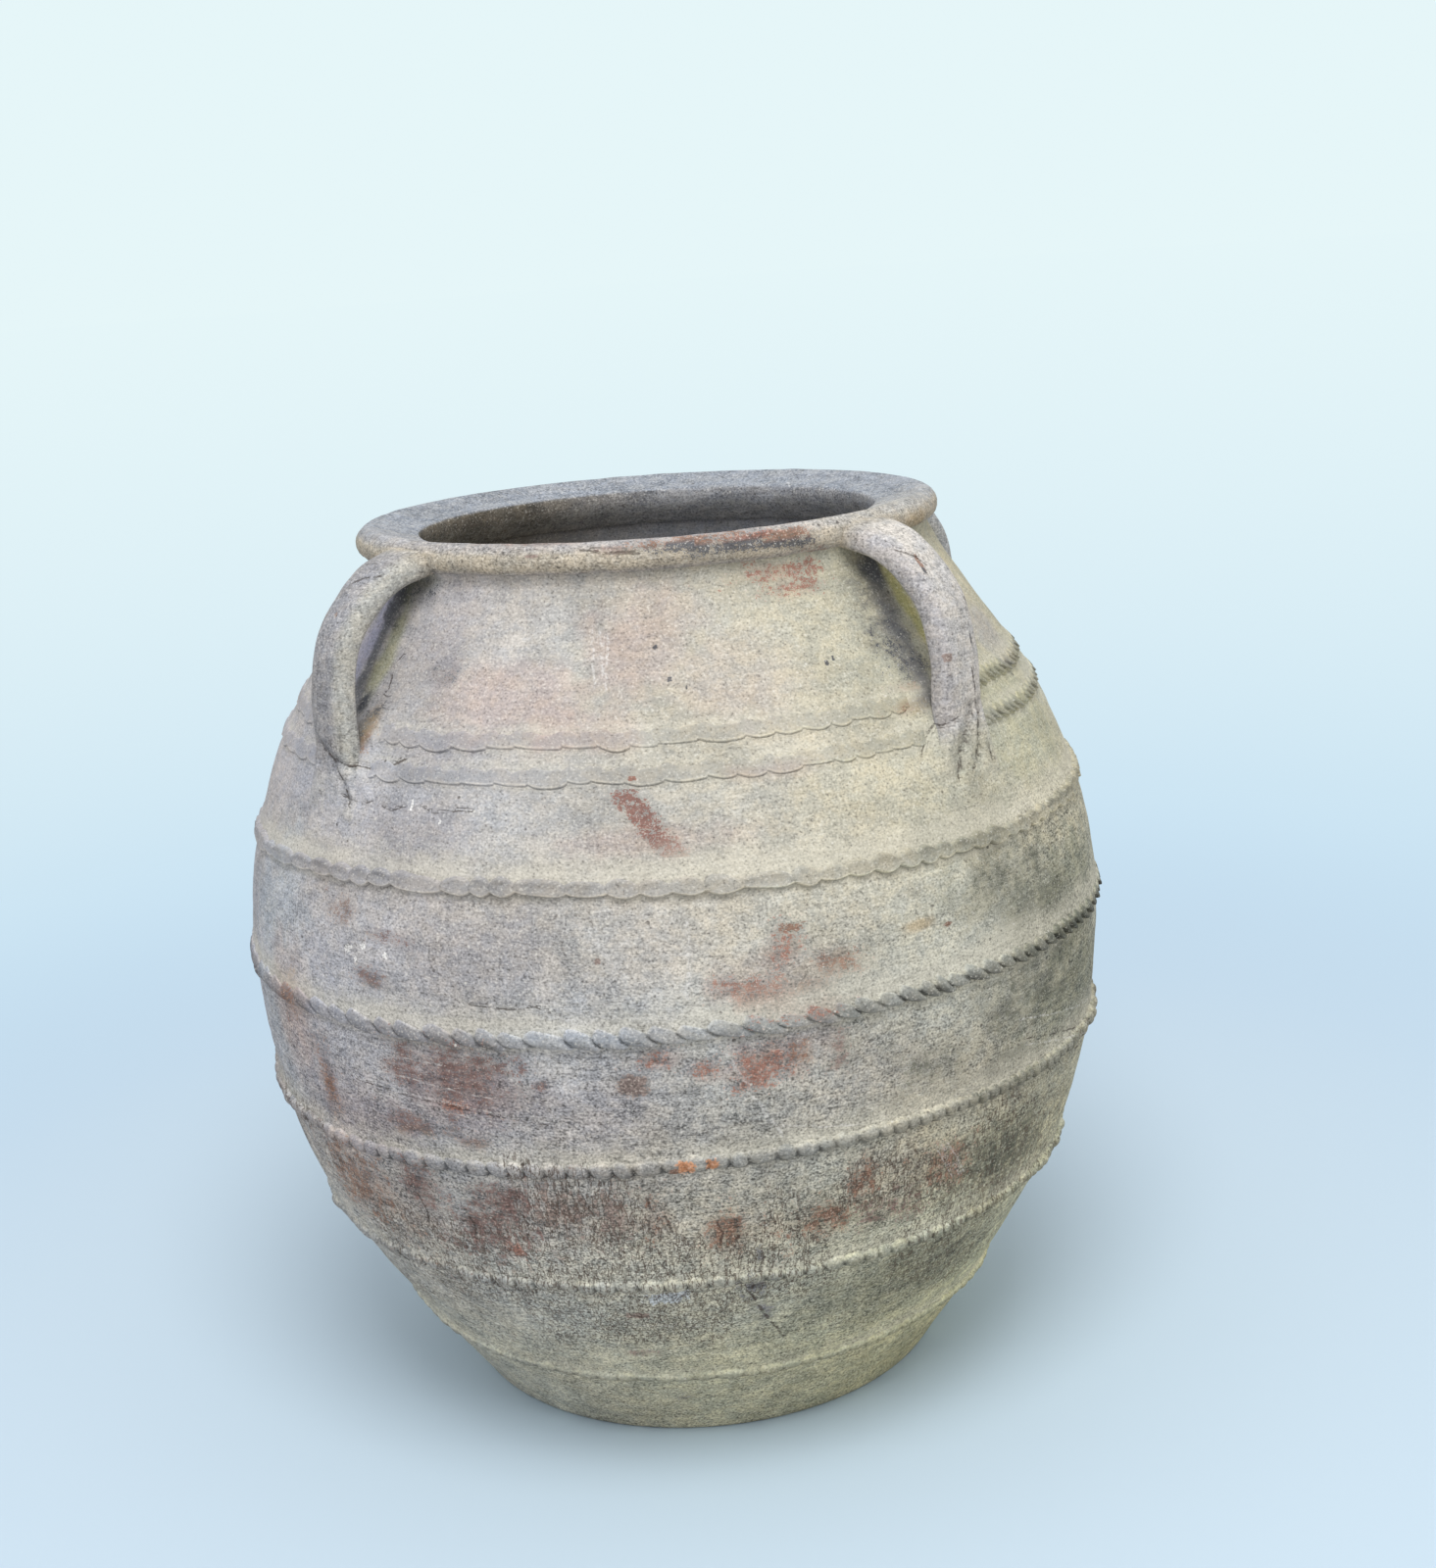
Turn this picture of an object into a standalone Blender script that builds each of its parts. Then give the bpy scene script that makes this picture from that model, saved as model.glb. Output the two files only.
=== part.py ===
"""Four-handled clay storage jar, built up the way a potter makes one.

A thrown base slab carries three wall sections, each with a bevelled joint on the one below.
A turned rim ring closes the mouth.  Seven strips of clay go round the wall: two flat ones on
the shoulder and five that are pressed with the thumb into lobes.  Four strap handles spring
from the rim and end on the shoulder, where the fingers leave grooves in their roots.

Metres, +Z up.  The origin is the middle of the foot, on the ground.  +X runs close to the
middle of the front right handle, and the side seen in the picture faces FRONT_ANGLE.
"""

import math

import bmesh
import bpy

# The whole jar
JAR_HEIGHT = 0.630
FOOT_RADIUS = 0.1767
BELLY_RADIUS = 0.3075
BELLY_HEIGHT = 0.340
NECK_RADIUS = 0.198
NECK_DEPTH = 0.026
NECK_HEIGHT = JAR_HEIGHT - NECK_DEPTH
WALL_THICKNESS = 0.016
FLOOR_THICKNESS = 0.020
FOOT_BEVEL = 0.003

# The rim: a dished top that rolls over outside into a lip and inside into the mouth
RIM_OVERHANG = 0.008
RIM_WIDTH = 0.045
RIM_LIP_ROLL = 0.009
RIM_LIP_DEPTH = 0.021
RIM_MOUTH_ROLL = 0.006
RIM_DISH_DEPTH = 0.008
RIM_OUTER_RADIUS = NECK_RADIUS + RIM_OVERHANG
RIM_CREST_RADIUS = RIM_OUTER_RADIUS - RIM_LIP_ROLL
RIM_MOUTH_RADIUS = RIM_OUTER_RADIUS - RIM_WIDTH

# The clay strips round the wall
FRONT_ANGLE = math.radians(-38.5)
STRIP_SWAY = 0.005
FLAT_STRIP_WIDTH = 0.011
FLAT_STRIP_RISE = 0.0018
FLAT_STRIP_WAVE = 0.0011
FLAT_WAVE_PITCH = 0.032
THUMBED_STRIP_WIDTH = 0.0125
THUMBED_STRIP_RISE = 0.0050
LOW_STRIP_WIDTH = 0.0115
LOW_STRIP_RISE = 0.0036
LOBE_PITCH = 0.0185

# Where the strips lie: shares of the rise from the belly to the neck, and of the belly's height
TOP_STRIP_SHARE = 0.6636
SHOULDER_STRIP_SHARE = 0.3398
UNDER_BELLY_STRIP_SHARE = 0.748
LOWER_STRIP_SHARE = 0.474
FOOT_STRIP_SHARE = 0.2025
FLAT_STRIP_SPACING = 0.0207
BELLY_STRIP_LIFT = 0.0042
TOP_STRIP_HEIGHT = BELLY_HEIGHT + (NECK_HEIGHT - BELLY_HEIGHT) * TOP_STRIP_SHARE
SECOND_STRIP_HEIGHT = TOP_STRIP_HEIGHT - FLAT_STRIP_SPACING
SHOULDER_STRIP_HEIGHT = BELLY_HEIGHT + (NECK_HEIGHT - BELLY_HEIGHT) * SHOULDER_STRIP_SHARE
BELLY_STRIP_HEIGHT = BELLY_HEIGHT + BELLY_STRIP_LIFT
UNDER_BELLY_STRIP_HEIGHT = BELLY_HEIGHT * UNDER_BELLY_STRIP_SHARE
LOWER_STRIP_HEIGHT = BELLY_HEIGHT * LOWER_STRIP_SHARE
FOOT_STRIP_HEIGHT = BELLY_HEIGHT * FOOT_STRIP_SHARE

# The joints between clay pieces, two of them behind the strips that hide them
SEAT_GAP = 0.0003
JOINT_BEVEL = 0.006
RIM_FOOT_DEPTH = 0.014
LOWER_JOINT_HEIGHT = UNDER_BELLY_STRIP_HEIGHT
UPPER_JOINT_HEIGHT = SHOULDER_STRIP_HEIGHT
RIM_JOINT_HEIGHT = NECK_HEIGHT - RIM_FOOT_DEPTH

# The strap handles, whose roots end between the shoulder strip and the flat strips
HANDLE_TOP_DROP = 0.0125
HANDLE_ROOT_SHARE = 0.4367
HANDLE_STANDOFF = 0.042
HANDLE_TOP_HEIGHT = JAR_HEIGHT - HANDLE_TOP_DROP
HANDLE_ROOT_HEIGHT = (SHOULDER_STRIP_HEIGHT
                      + (SECOND_STRIP_HEIGHT - SHOULDER_STRIP_HEIGHT) * HANDLE_ROOT_SHARE)
HANDLE_WIDTH = 0.039
HANDLE_TOP_WIDTH = 0.056
HANDLE_ROOT_WIDTH = 0.060
HANDLE_THICKNESS = 0.018
FINGER_GROOVE_DEPTH = 0.0035

# Each handle's angle from +X, in degrees
HANDLE_ANGLES = {
    "handle_front_left": -90.0,
    "handle_front_right": 6.0,
    "handle_back_right": 84.7,
    "handle_back_left": 177.5,
}

# How finely the round pieces are cut
TURN_STEPS = 54
OUTSIDE_ROW_HEIGHT = 0.034
INSIDE_ROW_HEIGHT = 0.064
LIP_STEPS = 5
HANDLE_STATIONS = 15
MERGE_DISTANCE = 0.00002

# The wall's outline below the belly: share of the belly's height, share of the swell
LOWER_SWELL_SHARES = (
    (0.00, 0.000), (0.09, 0.150), (0.18, 0.310), (0.30, 0.500), (0.44, 0.708),
    (0.59, 0.860), (0.74, 0.950), (0.88, 0.990), (1.00, 1.000),
)
# The wall's outline above the belly: share of the way up to the neck, share of the swell
UPPER_SWELL_SHARES = (
    (0.20, 0.952), (0.40, 0.815), (0.60, 0.612), (0.80, 0.290), (0.92, 0.096), (1.00, 0.000),
)
# How a strip wanders: shares of the sway that lean it right, lift front and back, twist it
TOP_WANDER_SHARES = (0.04, 0.13, -0.04)
SECOND_WANDER_SHARES = (0.08, 0.36, -0.22)
SHOULDER_WANDER_SHARES = (0.40, 0.64, -0.96)
BELLY_WANDER_SHARES = (-0.04, 0.26, 0.54)
UNDER_BELLY_WANDER_SHARES = (0.60, 0.80, 0.62)
LOWER_WANDER_SHARES = (0.82, 0.50, -0.04)
FOOT_WANDER_SHARES = (-0.18, -0.40, 0.24)
# Sections of the strips: share of the half width above the middle, share of the rise
FLAT_SECTION_SHARES = ((1.0, 0.0), (0.78, 1.0), (-0.78, 1.0), (-1.0, 0.0))
THUMBED_SECTION_SHARES = ((1.0, 0.0), (0.25, 0.8), (-0.5, 1.0), (-1.0, 0.0))
LOW_SECTION_SHARES = ((1.0, 0.0), (-0.35, 1.0), (-1.0, 0.0))
# What is left of a thumbed strip's rise and half width in the nick between two lobes
NICK_RISE_SHARE = 0.40
NICK_WIDTH_SHARE = 0.74
# How far a thumb's slant shifts the lobes across a strip, as a share of the pitch
LOBE_SLANT_SHARE = 0.16
# The handle's way down: shares of standoff, fall, top flare, root flare, thickness and groove
HANDLE_WAY_SHARES = (
    (-0.133, 0.000, 1.00, 0.00, 1.10, 0.00),
    (0.567, 0.053, 0.45, 0.00, 1.05, 0.00),
    (0.926, 0.135, 0.15, 0.00, 1.00, 0.00),
    (1.048, 0.273, 0.00, 0.00, 1.00, 0.00),
    (0.709, 0.480, 0.00, 0.00, 0.97, 0.00),
    (0.173, 0.700, 0.00, 0.15, 0.95, 0.30),
    (-0.023, 0.850, 0.00, 0.60, 0.75, 0.75),
    (-0.119, 1.000, 0.00, 1.00, 0.45, 0.00),
)
# The strap's section: shares of the half width and the half thickness, and of the groove
HANDLE_RING_SHARES = (
    (1.00, 0.00, 0.0), (0.90, 0.62, 0.0), (0.62, 0.93, 0.0), (0.33, 1.00, 1.0),
    (0.00, 1.00, 0.0), (-0.33, 1.00, 1.0), (-0.62, 0.93, 0.0), (-0.90, 0.62, 0.0),
    (-1.00, 0.00, 0.0), (-0.80, -0.70, 0.0), (-0.35, -1.00, 0.0), (0.35, -1.00, 0.0),
    (0.80, -0.70, 0.0),
)


def hermite(points, x):
    """Value at x of the smooth curve through (x, y) points in rising x."""
    last = len(points) - 1
    k = max(i for i in range(last) if i == 0 or points[i][0] <= x)
    slopes = []
    for i in (k, k + 1):
        before, after = points[max(i - 1, 0)], points[min(i + 1, last)]
        slopes.append((after[1] - before[1]) / (after[0] - before[0]))
    (x0, y0), (x1, y1) = points[k], points[k + 1]
    span = x1 - x0
    t = (x - x0) / span
    rise_in, rise_out = slopes[0] * span, slopes[1] * span
    start = y0 * (1 + 2 * t) * (1 - t) ** 2 + rise_in * t * (1 - t) ** 2
    end = y1 * t * t * (3 - 2 * t) - rise_out * t * t * (1 - t)
    return start + end


def between(low, high, share):
    """The value a share of the way from low to high."""
    return low + (high - low) * share


def outline_curve():
    """(height, radius) points of the wall's outside, from the foot to the neck."""
    curve = []
    for up, swell in LOWER_SWELL_SHARES:
        curve.append((up * BELLY_HEIGHT, between(FOOT_RADIUS, BELLY_RADIUS, swell)))
    for up, swell in UPPER_SWELL_SHARES:
        curve.append((between(BELLY_HEIGHT, NECK_HEIGHT, up),
                      between(NECK_RADIUS, BELLY_RADIUS, swell)))
    return curve


WALL_CURVE = outline_curve()


def wall_radius(height):
    """Radius of the wall's outside at a height."""
    return hermite(WALL_CURVE, height)


def inside_curve():
    """(height, radius) points of the wall's inside, one thickness in from each outer point."""
    curve = []
    for height, radius in WALL_CURVE:
        step = WALL_THICKNESS
        slope = (wall_radius(height + step) - wall_radius(height - step)) / (2 * step)
        inward = WALL_THICKNESS / math.hypot(1, slope)
        curve.append((height + inward * slope, radius - inward))
    return curve


INNER_CURVE = inside_curve()


def inner_radius(height):
    """Radius of the wall's inside at a height."""
    return hermite(INNER_CURVE, height)


def material(name, colour, roughness):
    """A plain fired-clay finish."""
    clay = bpy.data.materials.new(name)
    clay.use_nodes = True
    shader = clay.node_tree.nodes["Principled BSDF"]
    shader.inputs["Base Color"].default_value = (*colour, 1.0)
    shader.inputs["Roughness"].default_value = roughness
    shader.inputs["Metallic"].default_value = 0.0
    return clay


def turned(name, profile, steps, closed, collection):
    """A shape turned round Z from (radius, height) points that run down its outer side."""
    mesh = bpy.data.meshes.new(name)
    count = len(profile)
    edges = [(i, (i + 1) % count) for i in range(count if closed else count - 1)]
    mesh.from_pydata([(radius, 0.0, height) for radius, height in profile], edges, [])
    piece = bpy.data.objects.new(name, mesh)
    collection.objects.link(piece)
    screw = piece.modifiers.new("turn", "SCREW")
    screw.axis = "Z"
    screw.angle = math.tau
    screw.steps = steps
    screw.render_steps = steps
    screw.use_merge_vertices = True
    screw.merge_threshold = MERGE_DISTANCE
    return piece


def as_mesh(piece, name):
    """Replace a piece by a plain mesh of its evaluated shape."""
    bpy.context.view_layer.update()
    shape = piece.evaluated_get(bpy.context.evaluated_depsgraph_get())
    mesh = bpy.data.meshes.new_from_object(shape)
    solid = bpy.data.objects.new(name, mesh)
    piece.users_collection[0].objects.link(solid)
    bpy.data.objects.remove(piece)
    solid.name = name
    mesh.name = name
    return solid


def finish(piece, clay, edge_angle):
    """Give a piece its clay and smooth shading."""
    piece.data.materials.append(clay)
    piece.data.shade_smooth()
    piece.data.set_sharp_from_angle(angle=math.radians(edge_angle))


def heights_down(top, bottom, row_height=OUTSIDE_ROW_HEIGHT):
    """Evenly spaced heights from top down to bottom, about a row height apart."""
    rows = max(2, math.ceil((top - bottom) / row_height))
    return [between(top, bottom, i / rows) for i in range(rows + 1)]


def base_slab(jar):
    """The thrown disc that the wall stands on, bevelled where it meets the ground."""
    middle = FLOOR_THICKNESS / 2
    profile = [
        (0.0, FLOOR_THICKNESS),
        (wall_radius(FLOOR_THICKNESS), FLOOR_THICKNESS),
        (wall_radius(middle), middle),
        (wall_radius(FOOT_BEVEL), FOOT_BEVEL),
        (FOOT_RADIUS - FOOT_BEVEL, 0.0),
        (0.0, 0.0),
    ]
    return as_mesh(turned("base_slab", profile, TURN_STEPS, False, jar), "base_slab")


def wall_section(name, low, high, low_bevel, jar):
    """A ring of wall between two joints, whose faces rise inwards by the joint's bevel."""
    bottom, bottom_inner = low + SEAT_GAP, low + SEAT_GAP + low_bevel
    profile = [(wall_radius(z), z) for z in heights_down(high, bottom)]
    inside = heights_down(high + JOINT_BEVEL, bottom_inner, INSIDE_ROW_HEIGHT)
    profile += [(inner_radius(z), z) for z in reversed(inside)]
    return as_mesh(turned(name, profile, TURN_STEPS, True, jar), name)


def lip_arc(clearance):
    """The rolled lip from its crest down to its underside, pushed out by a clearance."""
    half_depth = RIM_LIP_DEPTH / 2
    overhang = RIM_OUTER_RADIUS - RIM_CREST_RADIUS
    middle = JAR_HEIGHT - half_depth
    start, end = math.radians(90), math.radians(-72)
    arc = []
    for i in range(LIP_STEPS + 1):
        angle = between(start, end, i / LIP_STEPS)
        arc.append((RIM_CREST_RADIUS + (overhang + clearance) * math.cos(angle),
                    middle + (half_depth + clearance) * math.sin(angle)))
    return arc


def mouth_arc():
    """The rolled inner edge of the rim, from its underside up to the dished top."""
    dish = JAR_HEIGHT - RIM_DISH_DEPTH
    start, end = math.radians(235), math.radians(95)
    arc = []
    for i in range(LIP_STEPS - 1):
        angle = between(start, end, i / (LIP_STEPS - 2))
        arc.append((RIM_MOUTH_RADIUS + RIM_MOUTH_ROLL * (1 + math.cos(angle)),
                    dish + RIM_MOUTH_ROLL * (math.sin(angle) - 1)))
    return arc


def rim_ring(jar):
    """The everted rim, seated on the shoulder by a bevelled joint."""
    bottom = RIM_JOINT_HEIGHT + SEAT_GAP
    bottom_inner = bottom + JOINT_BEVEL
    profile = lip_arc(0.0)
    profile += [(NECK_RADIUS, NECK_HEIGHT), (wall_radius(bottom), bottom)]
    profile += [(inner_radius(bottom_inner), bottom_inner)]
    profile += mouth_arc()
    crest_half = (RIM_CREST_RADIUS + RIM_MOUTH_RADIUS) / 2
    profile += [(crest_half, JAR_HEIGHT - RIM_DISH_DEPTH / 2)]
    return as_mesh(turned("rim_ring", profile, TURN_STEPS, True, jar), "rim_ring")


def strip_height(height, wander_shares, angle):
    """Height of a strip's middle where it passes an angle."""
    lean, lift, twist = wander_shares
    seen = angle - FRONT_ANGLE
    sway = lean * math.sin(seen) + lift * math.cos(2 * seen) + twist * math.sin(2 * seen)
    return height + STRIP_SWAY * sway


def blank_strip(name, section_shares, steps, width, rise, jar):
    """A level ring of strip, turned at the belly's radius, before it is laid on the wall."""
    profile = [(BELLY_RADIUS + rise * out, width / 2 * across) for across, out in section_shares]
    return as_mesh(turned(name, profile, steps, True, jar), name)


def flat_strip(name, height, wander_shares, jar):
    """A flat strip whose edges wave a little, laid on the wall."""
    waves = round(math.tau * wall_radius(height) / FLAT_WAVE_PITCH)
    half = FLAT_STRIP_WIDTH / 2
    piece = blank_strip(name, FLAT_SECTION_SHARES, 2 * waves, FLAT_STRIP_WIDTH,
                        FLAT_STRIP_RISE, jar)
    for vertex in piece.data.vertices:
        x, y, z = vertex.co
        angle = math.atan2(y, x)
        out = math.hypot(x, y) - BELLY_RADIUS
        wave = FLAT_STRIP_WAVE * math.cos(waves * angle) * z / half
        z += strip_height(height, wander_shares, angle) + wave
        radius = wall_radius(z) + SEAT_GAP + out
        vertex.co = (radius * math.cos(angle), radius * math.sin(angle), z)
    return piece


def thumbed_strip(name, height, wander_shares, section_shares, width, rise, jar):
    """A strip pressed into lobes, narrow and low in the nicks between two presses."""
    lobes = round(math.tau * wall_radius(height) / LOBE_PITCH)
    piece = blank_strip(name, section_shares, 2 * lobes, width, rise, jar)
    half = width / 2
    for vertex in piece.data.vertices:
        x, y, z = vertex.co
        angle = math.atan2(y, x)
        out = math.hypot(x, y) - BELLY_RADIUS
        slant = math.tau * LOBE_SLANT_SHARE * z / half
        crown = (1 + math.cos(lobes * angle + slant)) / 2
        z = z * between(NICK_WIDTH_SHARE, 1, crown)
        z += strip_height(height, wander_shares, angle)
        radius = wall_radius(z) + SEAT_GAP + out * between(NICK_RISE_SHARE, 1, crown)
        vertex.co = (radius * math.cos(angle), radius * math.sin(angle), z)
    return piece


def handle_row(t):
    """The handle's way shares a share t of the way along it."""
    rows = HANDLE_WAY_SHARES
    place = t * (len(rows) - 1)
    columns = [[(i, row[c]) for i, row in enumerate(rows)] for c in range(len(rows[0]))]
    return [hermite(column, place) for column in columns]


def handle_centre(t):
    """Radius and height of the strap's middle a share t of the way along it."""
    standoff, fall = handle_row(t)[:2]
    height = between(HANDLE_TOP_HEIGHT, HANDLE_ROOT_HEIGHT, fall)
    return wall_radius(min(height, NECK_HEIGHT)) + HANDLE_STANDOFF * standoff, height


def handle_section(t):
    """Corners of the strap's section at t: along the tangent, the radius and the height."""
    top_flare, root_flare, thickness_share, groove_share = handle_row(t)[2:]
    half_width = (HANDLE_WIDTH + (HANDLE_TOP_WIDTH - HANDLE_WIDTH) * top_flare
                  + (HANDLE_ROOT_WIDTH - HANDLE_WIDTH) * root_flare) / 2
    half_thickness = HANDLE_THICKNESS / 2 * thickness_share
    nearby = 0.5 / HANDLE_STATIONS
    r0, z0 = handle_centre(max(t - nearby, 0))
    r1, z1 = handle_centre(min(t + nearby, 1))
    length = math.hypot(r1 - r0, z1 - z0)
    out_r, out_z = (z0 - z1) / length, (r1 - r0) / length
    radius, height = handle_centre(t)
    corners = []
    for across, out, groove in HANDLE_RING_SHARES:
        rise = half_thickness * out - FINGER_GROOVE_DEPTH * groove * groove_share
        corners.append((half_width * across, radius + out_r * rise, height + out_z * rise))
    return corners


def jar_cutter(cutters):
    """The jar's outside as one solid, a seat's gap proud, with a step over the flat strips.

    Below the strips the step runs out by the handle's root, so a thin root stays in one piece.
    """
    margin = FLAT_STRIP_WIDTH / 2 + FLAT_STRIP_WAVE + STRIP_SWAY / 2
    step_top, step_bottom = TOP_STRIP_HEIGHT + margin, SECOND_STRIP_HEIGHT - margin
    step_rise = FLAT_STRIP_RISE + SEAT_GAP
    profile = [(0.0, JAR_HEIGHT + SEAT_GAP)] + lip_arc(SEAT_GAP)
    profile.append((NECK_RADIUS + SEAT_GAP, NECK_HEIGHT))
    for z in heights_down(RIM_JOINT_HEIGHT, step_top):
        profile.append((wall_radius(z) + SEAT_GAP, z))
    flat_side = math.cos(math.pi / TURN_STEPS)
    for z in heights_down(step_top, step_bottom):
        profile.append(((wall_radius(z) + step_rise + SEAT_GAP) / flat_side, z))
    for z in heights_down(HANDLE_ROOT_HEIGHT, UPPER_JOINT_HEIGHT):
        profile.append((wall_radius(z) + SEAT_GAP, z))
    profile.append((0.0, UPPER_JOINT_HEIGHT))
    cutter = as_mesh(turned("jar_cutter", profile, TURN_STEPS, False, cutters), "jar_cutter")
    cutter.hide_render = True
    cutter.display_type = "WIRE"
    return cutter


def handle(name, angle, cutter, jar):
    """A strap lofted from the rim to the shoulder, then cut to the surface it sits on."""
    shape = bmesh.new()
    rings = []
    along, across = (math.cos(angle), math.sin(angle)), (-math.sin(angle), math.cos(angle))
    for station in range(HANDLE_STATIONS):
        ring = []
        for side, radius, height in handle_section(station / (HANDLE_STATIONS - 1)):
            x = along[0] * radius + across[0] * side
            y = along[1] * radius + across[1] * side
            ring.append(shape.verts.new((x, y, height)))
        rings.append(ring)
    corners = len(HANDLE_RING_SHARES)
    for upper, lower in zip(rings, rings[1:]):
        for i in range(corners):
            j = (i + 1) % corners
            shape.faces.new((upper[i], upper[j], lower[j], lower[i]))
    shape.faces.new(reversed(rings[0]))
    shape.faces.new(rings[-1])
    bmesh.ops.recalc_face_normals(shape, faces=shape.faces)
    mesh = bpy.data.meshes.new(name)
    shape.to_mesh(mesh)
    shape.free()
    strap = bpy.data.objects.new(name, mesh)
    jar.objects.link(strap)
    cut = strap.modifiers.new("seat", "BOOLEAN")
    cut.operation = "DIFFERENCE"
    cut.solver = "EXACT"
    cut.object = cutter
    return as_mesh(strap, name)


def collection(name):
    """A new collection in the scene."""
    group = bpy.data.collections.new(name)
    bpy.context.scene.collection.children.link(group)
    return group


def build():
    """Make every piece of the jar."""
    for old in list(bpy.data.objects):
        bpy.data.objects.remove(old)
    jar = collection("four_handled_clay_jar")
    cutters = collection("cutters")
    foot_clay = material("foot_clay", (0.36, 0.33, 0.26), 0.92)
    lower_clay = material("lower_clay", (0.33, 0.28, 0.24), 0.90)
    belly_clay = material("belly_clay", (0.38, 0.33, 0.29), 0.90)
    shoulder_clay = material("shoulder_clay", (0.55, 0.50, 0.43), 0.92)
    rim_clay = material("rim_clay", (0.42, 0.39, 0.36), 0.85)
    strip_clay = material("strip_clay", (0.46, 0.41, 0.35), 0.92)
    handle_clay = material("handle_clay", (0.46, 0.41, 0.38), 0.88)

    walls = (
        (base_slab(jar), foot_clay),
        (wall_section("lower_wall", FLOOR_THICKNESS, LOWER_JOINT_HEIGHT, 0.0, jar), lower_clay),
        (wall_section("belly_wall", LOWER_JOINT_HEIGHT, UPPER_JOINT_HEIGHT, JOINT_BEVEL, jar),
         belly_clay),
        (wall_section("shoulder_wall", UPPER_JOINT_HEIGHT, RIM_JOINT_HEIGHT, JOINT_BEVEL, jar),
         shoulder_clay),
        (rim_ring(jar), rim_clay),
    )
    for piece, clay in walls:
        finish(piece, clay, 35)

    flat_strips = (
        ("top_flat_strip", TOP_STRIP_HEIGHT, TOP_WANDER_SHARES),
        ("second_flat_strip", SECOND_STRIP_HEIGHT, SECOND_WANDER_SHARES),
    )
    for name, height, wander_shares in flat_strips:
        finish(flat_strip(name, height, wander_shares, jar), strip_clay, 35)

    proud = (THUMBED_SECTION_SHARES, THUMBED_STRIP_WIDTH, THUMBED_STRIP_RISE)
    low = (LOW_SECTION_SHARES, LOW_STRIP_WIDTH, LOW_STRIP_RISE)
    thumbed_strips = (
        ("shoulder_thumbed_strip", SHOULDER_STRIP_HEIGHT, SHOULDER_WANDER_SHARES, proud),
        ("belly_thumbed_strip", BELLY_STRIP_HEIGHT, BELLY_WANDER_SHARES, proud),
        ("under_belly_thumbed_strip", UNDER_BELLY_STRIP_HEIGHT, UNDER_BELLY_WANDER_SHARES, low),
        ("lower_thumbed_strip", LOWER_STRIP_HEIGHT, LOWER_WANDER_SHARES, low),
        ("foot_thumbed_strip", FOOT_STRIP_HEIGHT, FOOT_WANDER_SHARES, low),
    )
    for name, height, wander_shares, (section_shares, width, rise) in thumbed_strips:
        strip = thumbed_strip(name, height, wander_shares, section_shares, width, rise, jar)
        finish(strip, strip_clay, 50)

    cutter = jar_cutter(cutters)
    for name, degrees in HANDLE_ANGLES.items():
        finish(handle(name, math.radians(degrees), cutter, jar), handle_clay, 50)


build()
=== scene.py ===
"""The looks of the four-handled clay jar: thrown walls, thumbed strips, strap handles, weathered clay."""

import math

import bpy
import numpy as np
from mathutils import Matrix, Vector


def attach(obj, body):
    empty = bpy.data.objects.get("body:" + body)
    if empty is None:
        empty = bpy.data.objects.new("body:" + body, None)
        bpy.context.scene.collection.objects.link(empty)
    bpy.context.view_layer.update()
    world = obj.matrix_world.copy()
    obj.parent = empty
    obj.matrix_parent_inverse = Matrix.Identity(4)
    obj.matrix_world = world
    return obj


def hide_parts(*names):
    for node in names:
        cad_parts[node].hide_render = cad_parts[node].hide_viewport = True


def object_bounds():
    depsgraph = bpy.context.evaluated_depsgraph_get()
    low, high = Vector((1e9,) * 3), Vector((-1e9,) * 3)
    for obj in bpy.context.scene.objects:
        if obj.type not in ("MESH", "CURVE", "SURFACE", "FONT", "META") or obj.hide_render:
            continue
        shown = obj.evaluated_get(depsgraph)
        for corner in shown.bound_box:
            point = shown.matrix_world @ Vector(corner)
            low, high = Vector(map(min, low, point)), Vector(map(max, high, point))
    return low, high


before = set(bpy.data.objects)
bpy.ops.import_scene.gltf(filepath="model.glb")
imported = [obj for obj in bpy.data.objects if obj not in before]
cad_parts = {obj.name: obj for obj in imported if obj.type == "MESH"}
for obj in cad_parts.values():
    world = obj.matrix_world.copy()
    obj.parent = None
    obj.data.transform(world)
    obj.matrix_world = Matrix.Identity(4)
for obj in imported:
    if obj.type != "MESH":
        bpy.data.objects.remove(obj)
CAD_LOW, CAD_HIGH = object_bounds()

# The side of the jar that faces the camera, as an angle from +X
FRONT = math.radians(-38.5)

# The camera, in metres and degrees, and the picture's frame
PICTURE_HEIGHT = 1600
FOCAL_PIXELS = 2110
CAMERA_DISTANCE = 1.47279
CAMERA_HEIGHT = 0.79552
CAMERA_YAW = 1.4433
CAMERA_PITCH = 14.3246
CAMERA_ROLL = -4.0040
SENSOR_WIDTH = 36

# The stage: colours are linear, distances in metres
BACKDROP_TOP = (0.79, 0.92, 0.94)
BACKDROP = (0.62, 0.79, 0.90)
BACKDROP_LOW = (0.52, 0.72, 0.91)
# The distance from the jar at which the backdrop is at its lowest colour
BACKDROP_NEAR = 0.83
FLOOR_SHOWN = (0.60, 0.74, 0.86)
FLOOR_BOUNCE = (0.58, 0.575, 0.56)
FLOOR_NEAR = 0.45
FLOOR_FAR = 1.60
FLOOR_REACH = 60.0
FLOOR_GAP = 0.0003
STUDIO_COLOUR = (1.0, 1.0, 1.0)
STUDIO_STRENGTH = 0.74
# The lamp, its place given in degrees off the front and metres
LAMP_SIDE = 2.0
LAMP_DISTANCE = 1.3
LAMP_HEIGHT = 2.4
LAMP_SIZE = 1.3
LAMP_WATTS = 33.0
LAMP_COLOUR = (1.0, 0.985, 0.96)

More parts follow.
